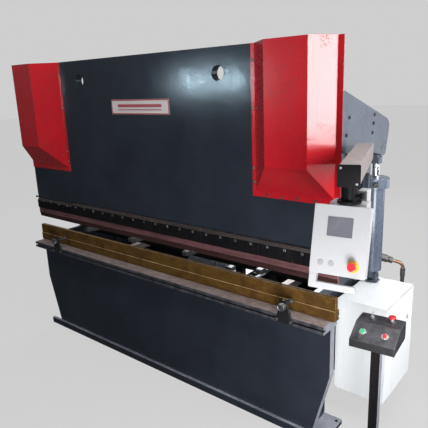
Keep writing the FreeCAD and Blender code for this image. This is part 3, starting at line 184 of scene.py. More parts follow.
def steel(name, light, dark, rough=0.32, along=(2.0, 160.0, 160.0), metallic=0.85, stain=(0.10, 0.05, 0.03),
          stain_amount=0.3, line=0.0006, edge=(0.75, 0.72, 0.68), edge_amount=0.7, specular=0.5):
    """Machined steel: tool marks along one direction, stains, oil and brighter rubbed edges."""
    m = Mat(name)
    marks = m.noise(1.0, 6, 0.65, m.stretched(*along))
    wide = m.noise(1.0, 4, 0.6, m.stretched(along[0] * 0.6, along[1] * 0.12, along[2] * 0.12))
    blot = m.noise(7.5, 6, 0.65)
    pits = m.span(m.noise(150, 4, 0.7), 0.60, 0.72)
    shade = m.mix(m.span(marks, 0.32, 0.68), dark, light)
    shade = m.mix(m.calc("MULTIPLY", m.span(wide, 0.42, 0.62), 0.45), shade, dark)
    shade = m.mix(m.calc("MULTIPLY", m.span(blot, 0.50, 0.68), stain_amount), shade, stain)
    shade = m.mix(m.calc("MULTIPLY", pits, stain_amount * 0.6), shade, stain)
    rub = m.calc("MULTIPLY", m.edges(0.0025), m.span(m.noise(23, 4, 0.6), 0.36, 0.52))
    shade = m.mix(m.calc("MULTIPLY", rub, edge_amount), shade, edge)
    rough_out = m.calc("ADD", m.span(marks, 0.3, 0.7, rough * 0.8, rough * 1.25),
                       m.calc("MULTIPLY", m.span(blot, 0.5, 0.7), 0.18))
    normal = m.bump(m.calc("ADD", marks, m.calc("MULTIPLY", pits, -0.5)), 0.5, line, m.rounded)
    return m.finish(shade, rough_out, normal, metallic=metallic, specular=specular)


def plastic(name, color, rough=0.35, grain=520.0, depth=0.00012, coat=0.0, dust=(0.35, 0.34, 0.33),
            dust_amount=0.10, specular=0.5):
    """Moulded plastic or powder coat with a fine texture, dust in the broad patches and rubbed edges."""
    m = Mat(name)
    tex = m.noise(grain, 3, 0.6)
    broad = m.noise(9, 5, 0.6)
    shade = m.mix(m.span(broad, 0.3, 0.7), darker(color, 0.93), lighter(color, 1.05))
    shade = m.mix(m.calc("MULTIPLY", m.span(broad, 0.48, 0.7), dust_amount), shade, dust)
    rub = m.calc("MULTIPLY", m.edges(0.0015), m.span(m.noise(40, 3, 0.6), 0.4, 0.6))
    shade = m.mix(m.calc("MULTIPLY", rub, 0.25), shade, lighter(color, 1.3, 0.05))
    rough_out = m.span(broad, 0.3, 0.7, rough * 0.9, rough * 1.15)
    return m.finish(shade, rough_out, m.bump(tex, 0.4, depth, m.rounded), coat=coat, specular=specular)


def white_coat(name, color, dirt_amount=0.35):
    """White powder coat with hand smears, drip streaks and grey corners."""
    m = Mat(name)
    peel = m.noise(260, 3, 0.55)
    broad = m.noise(3.4, 6, 0.65)
    drip = m.noise(1.0, 5, 0.7, m.stretched(24, 24, 1.3))
    smear = m.calc("MULTIPLY", m.span(drip, 0.50, 0.70), m.span(broad, 0.42, 0.62))
    shade = m.mix(m.span(broad, 0.3, 0.7), darker(color, 0.965), color)
    shade = m.mix(m.calc("MULTIPLY", smear, dirt_amount), shade, (0.42, 0.41, 0.38))
    spots = m.calc("MULTIPLY", m.span(m.noise(75, 3, 0.65), 0.64, 0.70),
                   m.span(m.noise(9, 3, 0.5), 0.50, 0.60))
    shade = m.mix(m.calc("MULTIPLY", spots, 0.65), shade, (0.28, 0.26, 0.25))
    worn = m.calc("MULTIPLY", m.edges(0.004), m.span(m.noise(14, 5, 0.7), 0.46, 0.62))
    shade = m.mix(m.calc("MULTIPLY", worn, 0.45), shade, (0.34, 0.34, 0.35))
    rough_out = m.span(broad, 0.3, 0.7, 0.36, 0.5)
    return m.finish(shade, rough_out, m.bump(peel, 0.3, 0.0003, m.rounded), coat=0.08, coat_rough=0.2)


# ---- finishes -------------------------------------------------------------------------------
MATS = {
    "machine": paint("enamel_dark", (0.0172, 0.0205, 0.0290), rough=0.140, wear=(0.055, 0.062, 0.078),
                     coat=0.0, wear_amount=0.45, dirt=(0.018, 0.021, 0.026), dirt_amount=0.20,
                     specular=0.32, waves=0.0011, tint=(0.68, 0.87, 1.0), speck_amount=0.05),
    # Pale enamel: real dust on the tops of the feet, and painted light on the end faces of the bed plate and
    # rail and on the stand post's right side.
    "dust_and_painted_light": paint("enamel_dust_and_painted_light", (0.165, 0.172, 0.200), rough=0.55, wear=(0.42, 0.42, 0.45), coat=0.0,
                   mottle=0.9, dirt=(0.10, 0.095, 0.09), dirt_amount=0.6, specular=0.3, waves=0.0008),
    "slate": paint("enamel_slate", (0.060, 0.070, 0.094), rough=0.36, wear=(0.20, 0.21, 0.24), coat=0.0,
                   dirt=(0.10, 0.10, 0.11), dirt_amount=0.30, specular=0.22, waves=0.0008,
                   tint=(0.85, 0.92, 1.0), speck_amount=0.10),
    "red": paint("enamel_red", (0.40, 0.0060, 0.0130), rough=0.20, wear=(0.50, 0.10, 0.11), mottle=0.20,
                 coat=0.34, coat_rough=0.17, wear_amount=0.30, dirt=(0.20, 0.005, 0.009),
                 dirt_amount=0.22, specular=0.4, waves=0.0005, speck_amount=0.10, spatter=0.8),
    "barrel": paint("enamel_barrel", (0.074, 0.089, 0.122), rough=0.26, wear=(0.20, 0.21, 0.24), coat=0.0,
                    dirt=(0.09, 0.10, 0.12), dirt_amount=0.40, specular=0.5, waves=0.0005,
                    tint=(0.85, 0.92, 1.0), speck_amount=0.25),
    "unit": paint("enamel_unit", (0.16, 0.18, 0.20), rough=0.42, coat=0.1),
    "arm": paint("paint_arm", (0.205, 0.176, 0.170), rough=0.50, wear=(0.48, 0.46, 0.44), coat=0.0,
                 mottle=0.16, dirt=(0.16, 0.14, 0.13), dirt_amount=0.35, waves=0.0006),
    "black": paint("black_steel", (0.009, 0.009, 0.011), rough=0.40, wear=(0.15, 0.12, 0.11), coat=0.0,
                   dirt=(0.03, 0.024, 0.022), dirt_amount=0.30, specular=0.25, waves=0.0008),
    "clamp": paint("black_clamp", (0.0045, 0.0045, 0.0055), rough=0.34, wear=(0.09, 0.065, 0.06),
                   coat=0.0, dirt=(0.022, 0.014, 0.012), dirt_amount=0.45, wear_amount=0.7, specular=0.06,
                   waves=0.0006),
    "stand": paint("stand_grey", (0.024, 0.024, 0.030), rough=0.36, wear=(0.26, 0.25, 0.26), coat=0.0,
                   mottle=1.7, wear_amount=0.8, dirt=(0.085, 0.080, 0.084), dirt_amount=0.8, waves=0.0006,
                   broad_scale=16.0),
    "rail": steel("rail_ground", (0.45, 0.375, 0.36), (0.19, 0.150, 0.150), rough=0.45, metallic=0.25,
                  along=(22.0, 70.0, 70.0), stain=(0.12, 0.07, 0.05), stain_amount=0.55),
    "lip": steel("clamp_lip", (0.055, 0.040, 0.036), (0.020, 0.015, 0.014), rough=0.42, metallic=0.3,
                 stain=(0.03, 0.018, 0.014)),
    "die": steel("die_oiled", (0.108, 0.054, 0.012), (0.048, 0.025, 0.006), rough=0.50, metallic=0.0,
                 along=(16.0, 55.0, 55.0), stain=(0.034, 0.014, 0.004), stain_amount=0.75,
                 edge=(0.50, 0.36, 0.20), edge_amount=0.8, specular=0.10),
    "ledge": steel("die_ledge", (0.62, 0.47, 0.27), (0.36, 0.25, 0.12), rough=0.36, metallic=0.4,
                   along=(3.0, 60.0, 60.0), stain=(0.10, 0.05, 0.02), stain_amount=0.5),
    "punch": steel("punch_planed", (0.200, 0.085, 0.090), (0.075, 0.034, 0.037), rough=0.50, metallic=0.0,
                   along=(3.0, 70.0, 70.0), stain=(0.045, 0.026, 0.022), stain_amount=0.6,
                   edge=(0.42, 0.26, 0.25), specular=0.15),
    # Painted shade: a darker copy of the punch steel, for the punch's faces that look down.
    "painted_shade_bevel": steel("punch_painted_shade", (0.050, 0.020, 0.019), (0.018, 0.008, 0.008), rough=0.50, metallic=0.0,
                   along=(3.0, 70.0, 70.0), stain=(0.03, 0.012, 0.010), stain_amount=0.5,
                   edge=(0.3, 0.2, 0.18), specular=0.15),
    "bright": steel("bright_steel", (0.62, 0.62, 0.64), (0.36, 0.36, 0.38), rough=0.28,
                    along=(60, 60, 60), stain_amount=0.15),
    "bolt": steel("bolt_steel", (0.16, 0.16, 0.17), (0.06, 0.06, 0.065), rough=0.40, along=(60, 60, 60),
                  stain=(0.05, 0.03, 0.025), stain_amount=0.4),
    "knob": paint("knob_grey", (0.030, 0.030, 0.033), rough=0.42, wear=(0.55, 0.55, 0.56), coat=0.0,
                  mottle=0.4, wear_amount=0.9, dirt=(0.05, 0.05, 0.05), waves=0.0005),
    "fitting": steel("fitting_steel", (0.060, 0.055, 0.052), (0.012, 0.011, 0.011), rough=0.30,
                     along=(90, 90, 25), stain=(0.020, 0.014, 0.010), stain_amount=0.6, metallic=0.3,
                     edge=(0.30, 0.28, 0.26), specular=0.35),
    "pipe": steel("pipe_steel", (0.30, 0.175, 0.115), (0.13, 0.075, 0.050), rough=0.28,
                  along=(60, 60, 60), stain=(0.12, 0.05, 0.02), stain_amount=0.5),
    "chrome": steel("hard_chrome", (0.80, 0.80, 0.82), (0.70, 0.70, 0.73), rough=0.18,
                    along=(120, 120, 3), metallic=1.0, stain_amount=0.05, line=0.00005),
    "alu": steel("milled_aluminium", (0.20, 0.20, 0.21), (0.10, 0.10, 0.11), rough=0.38,
                 along=(80, 8, 80), stain_amount=0.4),
    "white": white_coat("white_powder", (0.74, 0.76, 0.78)),
    "pendant": white_coat("pendant_powder", (0.345, 0.345, 0.36), dirt_amount=0.2),
    "plate": white_coat("plate_white", (0.50, 0.46, 0.46), dirt_amount=0.15),
    "border": paint("plate_border", (0.30, 0.02, 0.03), rough=0.35, coat=0.0, mottle=0.3,
                    wear=(0.5, 0.3, 0.3)),
    "plastic": plastic("black_plastic", (0.0045, 0.0045, 0.0055), rough=0.42, dust=(0.10, 0.10, 0.10),
                       dust_amount=0.03, specular=0.10),
    "screen": plastic("screen_glass", (0.105, 0.105, 0.125), rough=0.12, grain=60, depth=0.00002,
                      coat=0.4, dust=(0.30, 0.30, 0.33)),
    "plug": plastic("plug_white", (0.24, 0.24, 0.26), rough=0.4),
    "red_cap": plastic("cap_red", (0.42, 0.016, 0.026), rough=0.25, coat=0.3, dust=(0.6, 0.1, 0.1)),
    "green_cap": plastic("cap_green", (0.010, 0.36, 0.15), rough=0.25, coat=0.3, dust=(0.2, 0.5, 0.3)),
    "yellow": plastic("ring_yellow", (0.58, 0.34, 0.030), rough=0.35, dust=(0.7, 0.55, 0.2)),
    "rubber": plastic("hose_rubber", (0.012, 0.012, 0.013), rough=0.60, grain=900, depth=0.0003),
}

# Which finish each CAD node wears. Some of its faces get another one further down.
LOOKS = {
    "machine": ["side_frame_right", "side_frame_left", "bed_plate", "feet", "rear_beams", "ram_plate",
                "shaft_bearings", "ram_yokes", "arm_bracket", "table_rail"],
    "slate": ["rocker_right", "rocker_left", "cylinder_brackets"],
    "barrel": ["cylinder_right", "cylinder_left"],
    "rail": ["ram_gibs", "gauge_rails", "torsion_tube"],
    "die": ["die"],
    "punch": ["punch"],
    "clamp": ["clamp_strips", "stand_post"],
    "black": ["front_stop_left", "front_stop_right", "ram_shoes", "gauge_beam"],
    "stand": ["stand_box"],
    "bolt": ["clamp_bolts", "cover_screws", "rocker_pins"],
    "bright": ["door_latch", "gauge_screw", "stand_key"],
    "knob": ["stop_spindle_left", "stop_spindle_right"],
    "pipe": ["port_pipes"],
    "chrome": ["piston_rod_right", "piston_rod_left"],
    "red": ["cover_right", "cover_left"],
    "white": ["cabinet_body", "cabinet_door"],
    "pendant": ["pendant_case"],
    "arm": ["arm"],
    "plastic": ["arm_cap", "pendant_swivel", "foot_pedal"],
    "plate": ["nameplate"],
    "screen": ["pendant_screen"],
    "plug": ["pendant_fittings"],
    "red_cap": ["pendant_estop", "stand_mushroom", "stand_button_red"],
    "green_cap": ["stand_button_green"],
    "rubber": ["hoses"],
    "unit": ["oil_tank", "pump_motor", "gauge_motor"],
    "alu": ["gauge_fingers", "valve_block"],
}


def dress_nodes():
    """Gives each CAD node the look that LOOKS names for it."""
    for look, names in LOOKS.items():
        for name in names:
            materials = nodes[name].data.materials
            materials.clear()
            materials.append(MATS[look])


# ---- faces with a finish of their own -------------------------------------------------------
SQUARE = 0.9               # a face looks along an axis when that share of its normal is past this
SLANTED = 0.5              # and it leans that way when the share is past this
RAIL_SKIN = 0.002          # the rail's ground top is within this of its highest point
LEDGE_DROP = 0.003         # the die's ledge is farther than this below its top
BEVEL_LEAN = -0.02         # the punch's bevels are the faces that look down by more than this
CLAMP_LIP_LEAN = 0.3       # the clamps' worn lips are the faces that look up by more than this
STAND_LIP_FACING = 0.85    # the stand's front lip looks forward by more than this
ARM_YAW = math.radians(18.05)
CAP_SCREWS = 0.0028        # the arm cap's two screw heads are within this of its outer end
ROD_BLOCK_Z = 1.769        # underside of the block that carries a rod's eye
HEAD_RADIUS = 0.0935       # just past a cylinder head's radius: what lies farther out is its port
FITTING_REACH = 0.148      # the port pipe's upper fitting ends this far from the cylinder's axis
LOWER_FITTING = 0.056      # height of the fitting at the port pipe's lower end
RING_REACH = 0.03          # the yellow ring starts within this of the emergency stop, the plugs do not
COLLAR_RADIUS = 0.0192     # a push button's metal collar, from the button's middle
MUSHROOM_CAP = 0.0155      # the mushroom's cap is this deep, and its stem is below
KNOB_RIM, KNOB_DEPTH = 0.0045, 0.031               # of a stop's knob: its front rim, and its whole depth
STOP_BOLT_DROP, STOP_BOLT_DEPTH = 0.012, 0.0095    # a front stop's bolts: below the rail's top, at its front


def finish_faces(node, look, test):
    """Gives the faces that pass test(centre, normal) another finish: ground, worn or moulded in colour, or
    painted light or shade.
    """
    data = nodes[node].data
    data.materials.append(MATS[look])
    slot = len(data.materials) - 1
    for face in data.polygons:
        if test(face.center, face.normal):
            face.material_index = slot


def finish_tooling():
    """Ground rail with painted light on its end faces, rubbed die ledge, painted shade on the punch's
    downward bevels and worn clamp lips.
    """
    rail_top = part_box("table_rail")[1].z
    die_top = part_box("die")[1].z
    finish_faces("table_rail", "rail", lambda c, n: n.z > SQUARE and c.z > rail_top - RAIL_SKIN)
    finish_faces("table_rail", "stand", lambda c, n: n.y < -SQUARE)
    # Painted light: the rail's end faces get the pale enamel, as if lit from the side.
    finish_faces("table_rail", "dust_and_painted_light", lambda c, n: abs(n.x) > SLANTED)
    finish_faces("die", "ledge", lambda c, n: n.z > SLANTED and c.z < die_top - LEDGE_DROP)
    # Painted shade: the punch's faces that look down get the darker copy of its steel.
    finish_faces("punch", "painted_shade_bevel", lambda c, n: n.z < BEVEL_LEAN)
    finish_faces("clamp_strips", "lip", lambda c, n: n.z > CLAMP_LIP_LEAN)


def finish_frame():
    """Dust on the tops of the feet, and painted light on the cut ends of the bed plate."""
    finish_faces("feet", "dust_and_painted_light", lambda c, n: n.z > SQUARE)
    # Painted light: both end faces of the bed plate get the pale enamel, as if lit from the side.
    finish_faces("bed_plate", "dust_and_painted_light", lambda c, n: abs(n.x) > SLANTED)


def finish_cylinders():
    """Black ports on the heads, steel fittings on the port pipes and painted blocks on the rods."""
    rod_low, rod_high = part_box("piston_rod_right")
    axis = (rod_low + rod_high) / 2
    pipe_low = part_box("port_pipes")[0].z

    def from_axis(c):
        """Level distance from the axis of the nearer cylinder."""
        return math.hypot(abs(c.x) - axis.x, c.y - axis.y)

    finish_faces("port_pipes", "fitting",
                 lambda c, n: from_axis(c) < FITTING_REACH or c.z < pipe_low + LOWER_FITTING)
    for hand in ("right", "left"):
        finish_faces("cylinder_" + hand, "black", lambda c, n: from_axis(c) > HEAD_RADIUS and c.z > axis.z)
        finish_faces("piston_rod_" + hand, "slate", lambda c, n: c.z > ROD_BLOCK_Z)


def finish_arm_and_pendant():
    """Pale screws in the arm's cap and the yellow ring behind the emergency stop."""
    along_arm = Vector((math.sin(ARM_YAW), -math.cos(ARM_YAW), 0))
    cap_end = max(v.co.dot(along_arm) for v in nodes["arm_cap"].data.vertices)
    ring_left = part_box("pendant_estop")[0].x - RING_REACH
    finish_faces("arm_cap", "plug", lambda c, n: c.dot(along_arm) > cap_end - CAP_SCREWS)
    finish_faces("pendant_fittings", "yellow", lambda c, n: c.x > ring_left)


def finish_stand():
    """Black front lip, painted highlight on the right side of the post, and the metal collars and stem of
    the push buttons.
    """
    finish_faces("stand_box", "black", lambda c, n: n.y < -STAND_LIP_FACING)
    # Painted highlight: the post's face that looks right gets the pale enamel, as if lit from the right.
    finish_faces("stand_post", "dust_and_painted_light", lambda c, n: n.x > SQUARE)
    for button in ("stand_button_green", "stand_button_red"):
        low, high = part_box(button)
        middle = (low + high) / 2
        finish_faces("stand_box", "bright", lambda c, n: (c - middle).length < COLLAR_RADIUS)
    stem_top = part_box("stand_mushroom")[1].z - MUSHROOM_CAP
    finish_faces("stand_mushroom", "bright", lambda c, n: c.z < stem_top)


def finish_stops():
    """Steel bolts under the front stops, and a bright rim and steel screw on the right stop's spindle."""
    rail_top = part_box("table_rail")[1].z
    stop_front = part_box("front_stop_right")[0].y
    knob_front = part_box("stop_spindle_right")[0].y
    for stop in ("front_stop_left", "front_stop_right"):
        finish_faces(stop, "bolt",
                     lambda c, n: c.z < rail_top - STOP_BOLT_DROP and c.y < stop_front + STOP_BOLT_DEPTH)
    finish_faces("stop_spindle_right", "bright",
                 lambda c, n: c.y < knob_front + KNOB_RIM and abs(n.y) < SQUARE)
    finish_faces("stop_spindle_right", "bolt", lambda c, n: c.y > knob_front + KNOB_DEPTH)


# ---- added pieces ---------------------------------------------------------------------------
BACK, UP = Vector((0, 1, 0)), Vector((0, 0, 1))
HANDS = ((1, "right"), (-1, "left"))


def add_piece(name, mesh, body, look):
    """Puts a mesh in the scene, riding on a body."""
    mesh.materials.append(MATS[look])
    piece = bpy.data.objects.new(name, mesh)
    bpy.context.scene.collection.objects.link(piece)
    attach(piece, body)


def skinned(name, skins, closed=False):
    """Mesh of skins, each a list of loops of points joined in order, with flat ends unless it is closed."""
    bm = bmesh.new()
    for loops in skins:
        rings = [[bm.verts.new(point) for point in loop] for loop in loops]
        pairs = list(zip(rings, rings[1:]))
        if closed:
            pairs.append((rings[-1], rings[0]))
        count = len(rings[0])
        for a, b in pairs:
            for i in range(count):
                k = (i + 1) % count
                bm.faces.new((a[i], a[k], b[k], b[i]))
        if not closed:
            bm.faces.new(list(reversed(rings[0])))
            bm.faces.new(rings[-1])
    bmesh.ops.recalc_face_normals(bm, faces=bm.faces)
    mesh = bpy.data.meshes.new(name)
    bm.to_mesh(mesh)
    bm.free()
    return mesh


def swept(path, profile):
    """Loops of a profile carried along a path: path gives (point, across, up), profile gives (u, v)."""
    return [[point + across * u + up * v for u, v in profile] for point, across, up in path]


def round_corners(left, right, bottom, top, radius, steps):
    """Points round an upright rectangle with round corners, each with its outward direction."""
    middles = ((right - radius, top - radius), (left + radius, top - radius),
               (left + radius, bottom + radius), (right - radius, bottom + radius))
    points = []
    for quarter, (x, z) in enumerate(middles):
        for step in range(steps + 1):
            turn = math.pi / 2 * (quarter + step / steps)
            outward = Vector((math.cos(turn), 0, math.sin(turn)))
            points.append((Vector((x, 0, z)) + outward * radius, outward))
    return points


# The name plate's moulding: its inset from the plate's edge, corner radius and half section, which is
# (outward, forward) from the plate's face.
BORDER_INSET = 0.006
BORDER_CORNER = 0.006
BORDER_PROFILE = [(-0.0035, -0.0005), (-0.0035, 0.0012), (-0.0015, 0.0022), (0.0025, 0.0022),
                  (0.0045, 0.0012), (0.0045, -0.0005)]

# Bars in place of the plate's printing: (left, right, bottom, top) from the plate's middle.
PLATE_BARS = [(-0.240, 0.240, -0.002, 0.020), (-0.240, 0.240, -0.024, -0.018)]
BAR_CORNER = 0.003
BAR_SUNK, BAR_PROUD = 0.0003, 0.0006


def plate_border():
    """Raised moulding round the blank name plate, with rounded corners."""
    low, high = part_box("nameplate")
    corners = round_corners(low.x + BORDER_INSET, high.x - BORDER_INSET, low.z + BORDER_INSET,
                            high.z - BORDER_INSET, BORDER_CORNER, 6)
    path = [(point + BACK * low.y, outward, -BACK) for point, outward in corners]
    mesh = skinned("plate_border", [swept(path, BORDER_PROFILE)], closed=True)
    add_piece("plate_border", mesh, "ram", "border")


def plate_marks():
    """Plain round-cornered bars, with no lettering, where the real plate is printed."""
    low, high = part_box("nameplate")
    middle = (low + high) / 2
    face = Vector((middle.x, low.y, middle.z))
    skins = []
    for left, right, bottom, top in PLATE_BARS:
        corners = round_corners(left, right, bottom, top, BAR_CORNER, 4)
        outline = [face + point for point, outward in corners]
        skins.append([[point + BACK * BAR_SUNK for point in outline],
                      [point - BACK * BAR_PROUD for point in outline]])
    add_piece("plate_marks", skinned("plate_marks", skins), "ram", "border")


# Tie bolts through the rockers' spacers: (y, z) of each, the two faces of a rocker they stand on, and
# the outline of a socket head, which is (radius, height) from its seat.
TIE_BOLTS = [(0.599, 2.117), (0.587, 2.062), (0.573, 2.003), (0.217, 2.126), (0.181, 2.024)]
ROCKER_FACES = (1.465, 1.545)
SOCKET_HEAD = [(0.0125, -0.0004), (0.0125, 0.0015), (0.0100, 0.0015), (0.0100, 0.0055), (0.0092, 0.0063),
               (0.0055, 0.0063), (0.0050, 0.0025), (0.0005, 0.0020)]
SOCKET_SIDES = 20


def turned(profile, at, out):
    """Loops of a small turned part that stands on a point along out."""
    across = out.orthogonal().normalized()
    up = out.cross(across)
    turns = [2 * math.pi * k / SOCKET_SIDES for k in range(SOCKET_SIDES)]
    spokes = [across * math.cos(turn) + up * math.sin(turn) for turn in turns]
    return [[at + out * height + spoke * radius for spoke in spokes] for radius, height in profile]


def tie_bolts():
    """Socket-head bolts on both faces of each rocker."""
    for side, hand in HANDS:
        for face, where in zip(ROCKER_FACES, ("inner", "outer")):
            out = Vector((side if where == "outer" else -side, 0, 0))
            for k, (y, z) in enumerate(TIE_BOLTS):
                name = "tie_bolt_%s_%s_%d" % (hand, where, k + 1)
                mesh = skinned(name, [turned(SOCKET_HEAD, Vector((side * face, y, z)), out)])
                add_piece(name, mesh, "rocker_shaft", "black")


# Fillet welds of the frame. The section is in units of the weld's size, along its two sides.
WELD_PROFILE = [(-0.15, -0.15), (1.0, -0.15), (0.98, 0.18), (0.74, 0.48), (0.48, 0.74), (0.18, 0.98),
                (-0.15, 1.0)]
WELD_STEP = 0.004
PLATE_WELD, BEAM_WELD, BRACKET_WELD = 0.008, 0.007, 0.006
FRAME_IN, FRAME_OUT = 1.360, 1.400         # a side frame's two faces, from the machine's middle
FOOT_TOP = 0.025
BED_WELD_SPAN = (0.06, 0.840)              # up the back of the bed plate
FOOT_WELDS = (("front", 0.060, 0.250), ("rear", 0.728, 0.915))      # (foot, front end, rear end)
BEAM_WELDS = (("low_front", 0.860, 0.305, 0.795, -BACK), ("low_back", 0.900, 0.305, 0.795, BACK),
              ("high_front", 0.540, 1.455, 1.745, -BACK), ("high_back", 0.570, 1.480, 1.745, BACK))
BEAM_TOP_WELD = (0.863, 0.897, 0.800)      # front end, rear end and height, on the lower cross member
BRACKET_AT, BRACKET_SPAN = (1.414, 1.745), (0.225, 0.273)           # (x, z), and its two ends in y


def weld(name, start, end, side_a, side_b, size):
    """Fillet weld from start to end in the corner between side_a and side_b, rippled like real passes."""
    run = end - start
    count = max(8, int(run.length / WELD_STEP))
    path = []
    for k in range(count + 1):
        ripple = 1.0 + 0.10 * math.sin(k * 1.3) + 0.07 * math.sin(k * 0.37 + run.length * 9)
        end_taper = min(1.0, 0.35 + 0.12 * min(k, count - k))
        scale = size * ripple * end_taper
        path.append((start + run * (k / count), side_a * scale, side_b * scale))
    mesh = skinned(name, [swept(path, WELD_PROFILE)])
    for face in mesh.polygons:
        face.use_smooth = True
    add_piece(name, mesh, "frame", "machine")


def frame_welds():
    """Fillet welds where the plates of the frame meet, on the sides that can be seen."""
    bed_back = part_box("bed_plate")[1].y
    bed_low, bed_high = BED_WELD_SPAN
    for side, hand in HANDS:
        inward, outward = Vector((-side, 0, 0)), Vector((side, 0, 0))
        for face, away, where in ((FRAME_IN, inward, "in"), (FRAME_OUT, outward, "out")):
            x = side * face
            weld("weld_bed_%s_%s" % (hand, where), Vector((x, bed_back, bed_low)),
                 Vector((x, bed_back, bed_high)), away, BACK, PLATE_WELD)
            for foot, front, rear in FOOT_WELDS:
                weld("weld_%s_foot_%s_%s" % (foot, hand, where), Vector((x, front, FOOT_TOP)),
                     Vector((x, rear, FOOT_TOP)), away, UP, PLATE_WELD)
        x = side * FRAME_IN
        for where, y, bottom, top, away in BEAM_WELDS:
            weld("weld_beam_%s_%s" % (hand, where), Vector((x, y, bottom)), Vector((x, y, top)), inward,
                 away, BEAM_WELD)
        front, rear, height = BEAM_TOP_WELD
        weld("weld_beam_%s_low_top" % hand, Vector((x, front, height)), Vector((x, rear, height)), inward,
             UP, BEAM_WELD)
    x, z = BRACKET_AT
    front, rear = BRACKET_SPAN
    weld("weld_arm_bracket", Vector((x, front, z)), Vector((x, rear, z)), Vector((1, 0, 0)), UP,
         BRACKET_WELD)


# ---- camera ---------------------------------------------------------------------------------
CAMERA_AT = (2.81792, -2.59604, 2.35055)
CAMERA_YAW, CAMERA_PITCH, CAMERA_ROLL = 0.6954502, 0.2569537, -0.0406779
CAMERA_LENS, CAMERA_SENSOR = 41.657, 36.0


def add_camera():
    """The photo's own view: turned left by the yaw, down by the pitch, and tilted by the roll."""
    ahead = Vector((-math.sin(CAMERA_YAW), math.cos(CAMERA_YAW), 0))
    side = Vector((math.cos(CAMERA_YAW), math.sin(CAMERA_YAW), 0))
    forward = ahead * math.cos(CAMERA_PITCH) - UP * math.sin(CAMERA_PITCH)
    above = ahead * math.sin(CAMERA_PITCH) + UP * math.cos(CAMERA_PITCH)
    right = side * math.cos(CAMERA_ROLL) + above * math.sin(CAMERA_ROLL)
    up = above * math.cos(CAMERA_ROLL) - side * math.sin(CAMERA_ROLL)
    data = bpy.data.cameras.new("camera")
    data.sensor_width = CAMERA_SENSOR
    data.lens = CAMERA_LENS
    data.clip_end = 200
    obj = bpy.data.objects.new("camera", data)
    bpy.context.scene.collection.objects.link(obj)
    turn = Matrix((right, up, -forward)).transposed().to_4x4()
    obj.matrix_world = Matrix.Translation(CAMERA_AT) @ turn
    bpy.context.scene.camera = obj


# ---- floor and light ------------------------------------------------------------------------
WHITE = (1.0, 1.0, 1.0)
COOL = (0.92, 0.96, 1.0)
WINDOW = (0.82, 0.94, 0.98)
ROOM_HALF = 40.0
FLOOR_DARK, FLOOR_PALE = (0.050, 0.050, 0.050), (0.056, 0.056, 0.056)
FLOOR_GLOW, WALL_GLOW = 0.575, 0.62
SKY_FROM, SKY_TO = -0.12, 0.08             # heights on the world's sphere between which the light grows
SKY_LOW, SKY_HIGH = 0.05, 0.20             # its strength below and above them


def area_light(name, at, target, power, width, height, color=WHITE):
    """A rectangular light that looks at a point."""
    data = bpy.data.lights.new(name, "AREA")
    data.shape = "RECTANGLE"
    data.size = width
    data.size_y = height
    data.energy = power
    data.color = color
    obj = bpy.data.objects.new(name, data)
    bpy.context.scene.collection.objects.link(obj)
    obj.location = at
    obj.rotation_euler = (Vector(target) - Vector(at)).to_track_quat("-Z", "Y").to_euler()


def glow(name, strength):
    """An even pale grey, for what the camera sees behind the floor."""
    mat = bpy.data.materials.new(name)
    mat.use_nodes = True
    tree = mat.node_tree
    tree.nodes.clear()
    out = tree.nodes.new("ShaderNodeOutputMaterial")
    light = tree.nodes.new("ShaderNodeEmission")
    light.inputs["Color"].default_value = rgba(WHITE)
    light.inputs["Strength"].default_value = strength
    tree.links.new(light.outputs[0], out.inputs[0])
    return mat


def backdrop(name, verts, faces, mat):
    """A staged surface that the camera sees, but that neither lights the object nor shows in its gloss."""
    mesh = bpy.data.meshes.new(name)
    mesh.from_pydata(verts, [], faces)
    mesh.materials.append(mat)
    obj = bpy.data.objects.new(name, mesh)
    bpy.context.scene.collection.objects.link(obj)
    obj.visible_diffuse = False
    obj.visible_glossy = False
    obj.visible_transmission = False
    return obj


def add_world():
    """Dim even light from above the horizon and nearly none from below, as over a workshop floor."""
    world = bpy.data.worlds.new("world")
    bpy.context.scene.world = world
    world.use_nodes = True
    tree = world.node_tree
    coord = tree.nodes.new("ShaderNodeTexCoord")
    split = tree.nodes.new("ShaderNodeSeparateXYZ")
    ramp = tree.nodes.new("ShaderNodeMapRange")
    ramp.inputs["From Min"].default_value = SKY_FROM
    ramp.inputs["From Max"].default_value = SKY_TO
    ramp.inputs["To Min"].default_value = SKY_LOW
    ramp.inputs["To Max"].default_value = SKY_HIGH
    tree.links.new(coord.outputs["Generated"], split.inputs[0])
    tree.links.new(split.outputs["Z"], ramp.inputs["Value"])
    tree.links.new(ramp.outputs[0], tree.nodes["Background"].inputs["Strength"])
    tree.nodes["Background"].inputs["Color"].default_value = (0.95, 0.98, 1.0, 1)


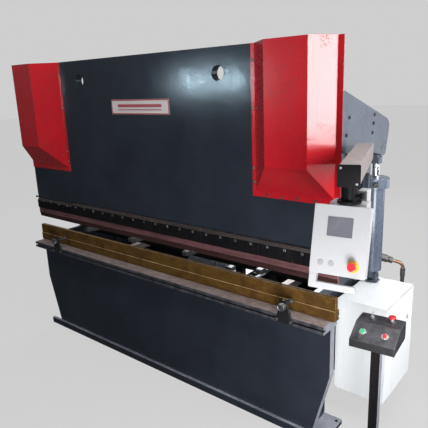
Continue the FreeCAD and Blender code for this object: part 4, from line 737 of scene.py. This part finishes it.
def add_backdrop():
    """A pale floor, and walls and a ceiling of the same tone round it."""
    pale = Mat("floor_pale")
    shade = pale.mix(pale.span(pale.noise(3, 4, 0.6), 0.3, 0.7), FLOOR_DARK, FLOOR_PALE)
    pale.bsdf.inputs["Emission Color"].default_value = rgba(WHITE)
    pale.bsdf.inputs["Emission Strength"].default_value = FLOOR_GLOW
    square = [(-ROOM_HALF, -ROOM_HALF), (ROOM_HALF, -ROOM_HALF), (ROOM_HALF, ROOM_HALF),
              (-ROOM_HALF, ROOM_HALF)]
    corners = [(x, y, 0) for x, y in square]
    tops = [(x, y, ROOM_HALF) for x, y in square]
    backdrop("floor", corners, [(0, 1, 2, 3)], pale.finish(shade, 0.9, specular=0.0))
    sides = [(0, 1, 5, 4), (1, 2, 6, 5), (2, 3, 7, 6), (3, 0, 4, 7)]
    walls = backdrop("walls", corners + tops, sides + [(4, 5, 6, 7)], glow("wall_pale", WALL_GLOW))
    walls.visible_shadow = False


def add_lights():
    """Three windows that show in the ram's gloss, and soft lights from the right, the front and behind."""
    area_light("window_wide", (-3.0, -4.65, 2.38), (0.7, 0, 2.4), 9, 1.7, 0.60, WINDOW)
    area_light("window_left", (-3.50, -4.6, 2.41), (0.6, 0, 2.4), 21, 0.44, 0.15, WINDOW)
    area_light("window_right", (-2.66, -4.6, 2.41), (0.9, 0, 2.4), 18, 0.22, 0.15, WINDOW)
    area_light("side", (4.7, 0.15, 2.65), (1.5, 0, 2.0), 190, 1.6, 2.2)
    area_light("front", (1.2, -1.9, 5.2), (0.4, 0, 1.9), 85, 1.6, 1.6)
    area_light("low", (2.5, -1.6, 0.8), (1.3, 0, 1.1), 68, 0.8, 0.8)
    area_light("right_back", (3.6, 4.0, 1.7), (1.4, 0.4, 1.0), 40, 2.0, 2.4, COOL)
    area_light("top", (2.4, 0.4, 5.0), (1.6, 0.6, 0.8), 105, 1.6, 1.6)
    area_light("back", (-2.5, 6.0, 3.8), (0, 0.5, 1.2), 300, 3.0, 3.0)


# ---- the whole scene ------------------------------------------------------------------------
dress_nodes()
finish_tooling()
finish_frame()
finish_cylinders()
finish_arm_and_pendant()
finish_stand()
finish_stops()
plate_border()
plate_marks()
tie_bolts()
frame_welds()
add_camera()
add_backdrop()
add_world()
add_lights()
bpy.context.scene.view_settings.view_transform = "Standard"
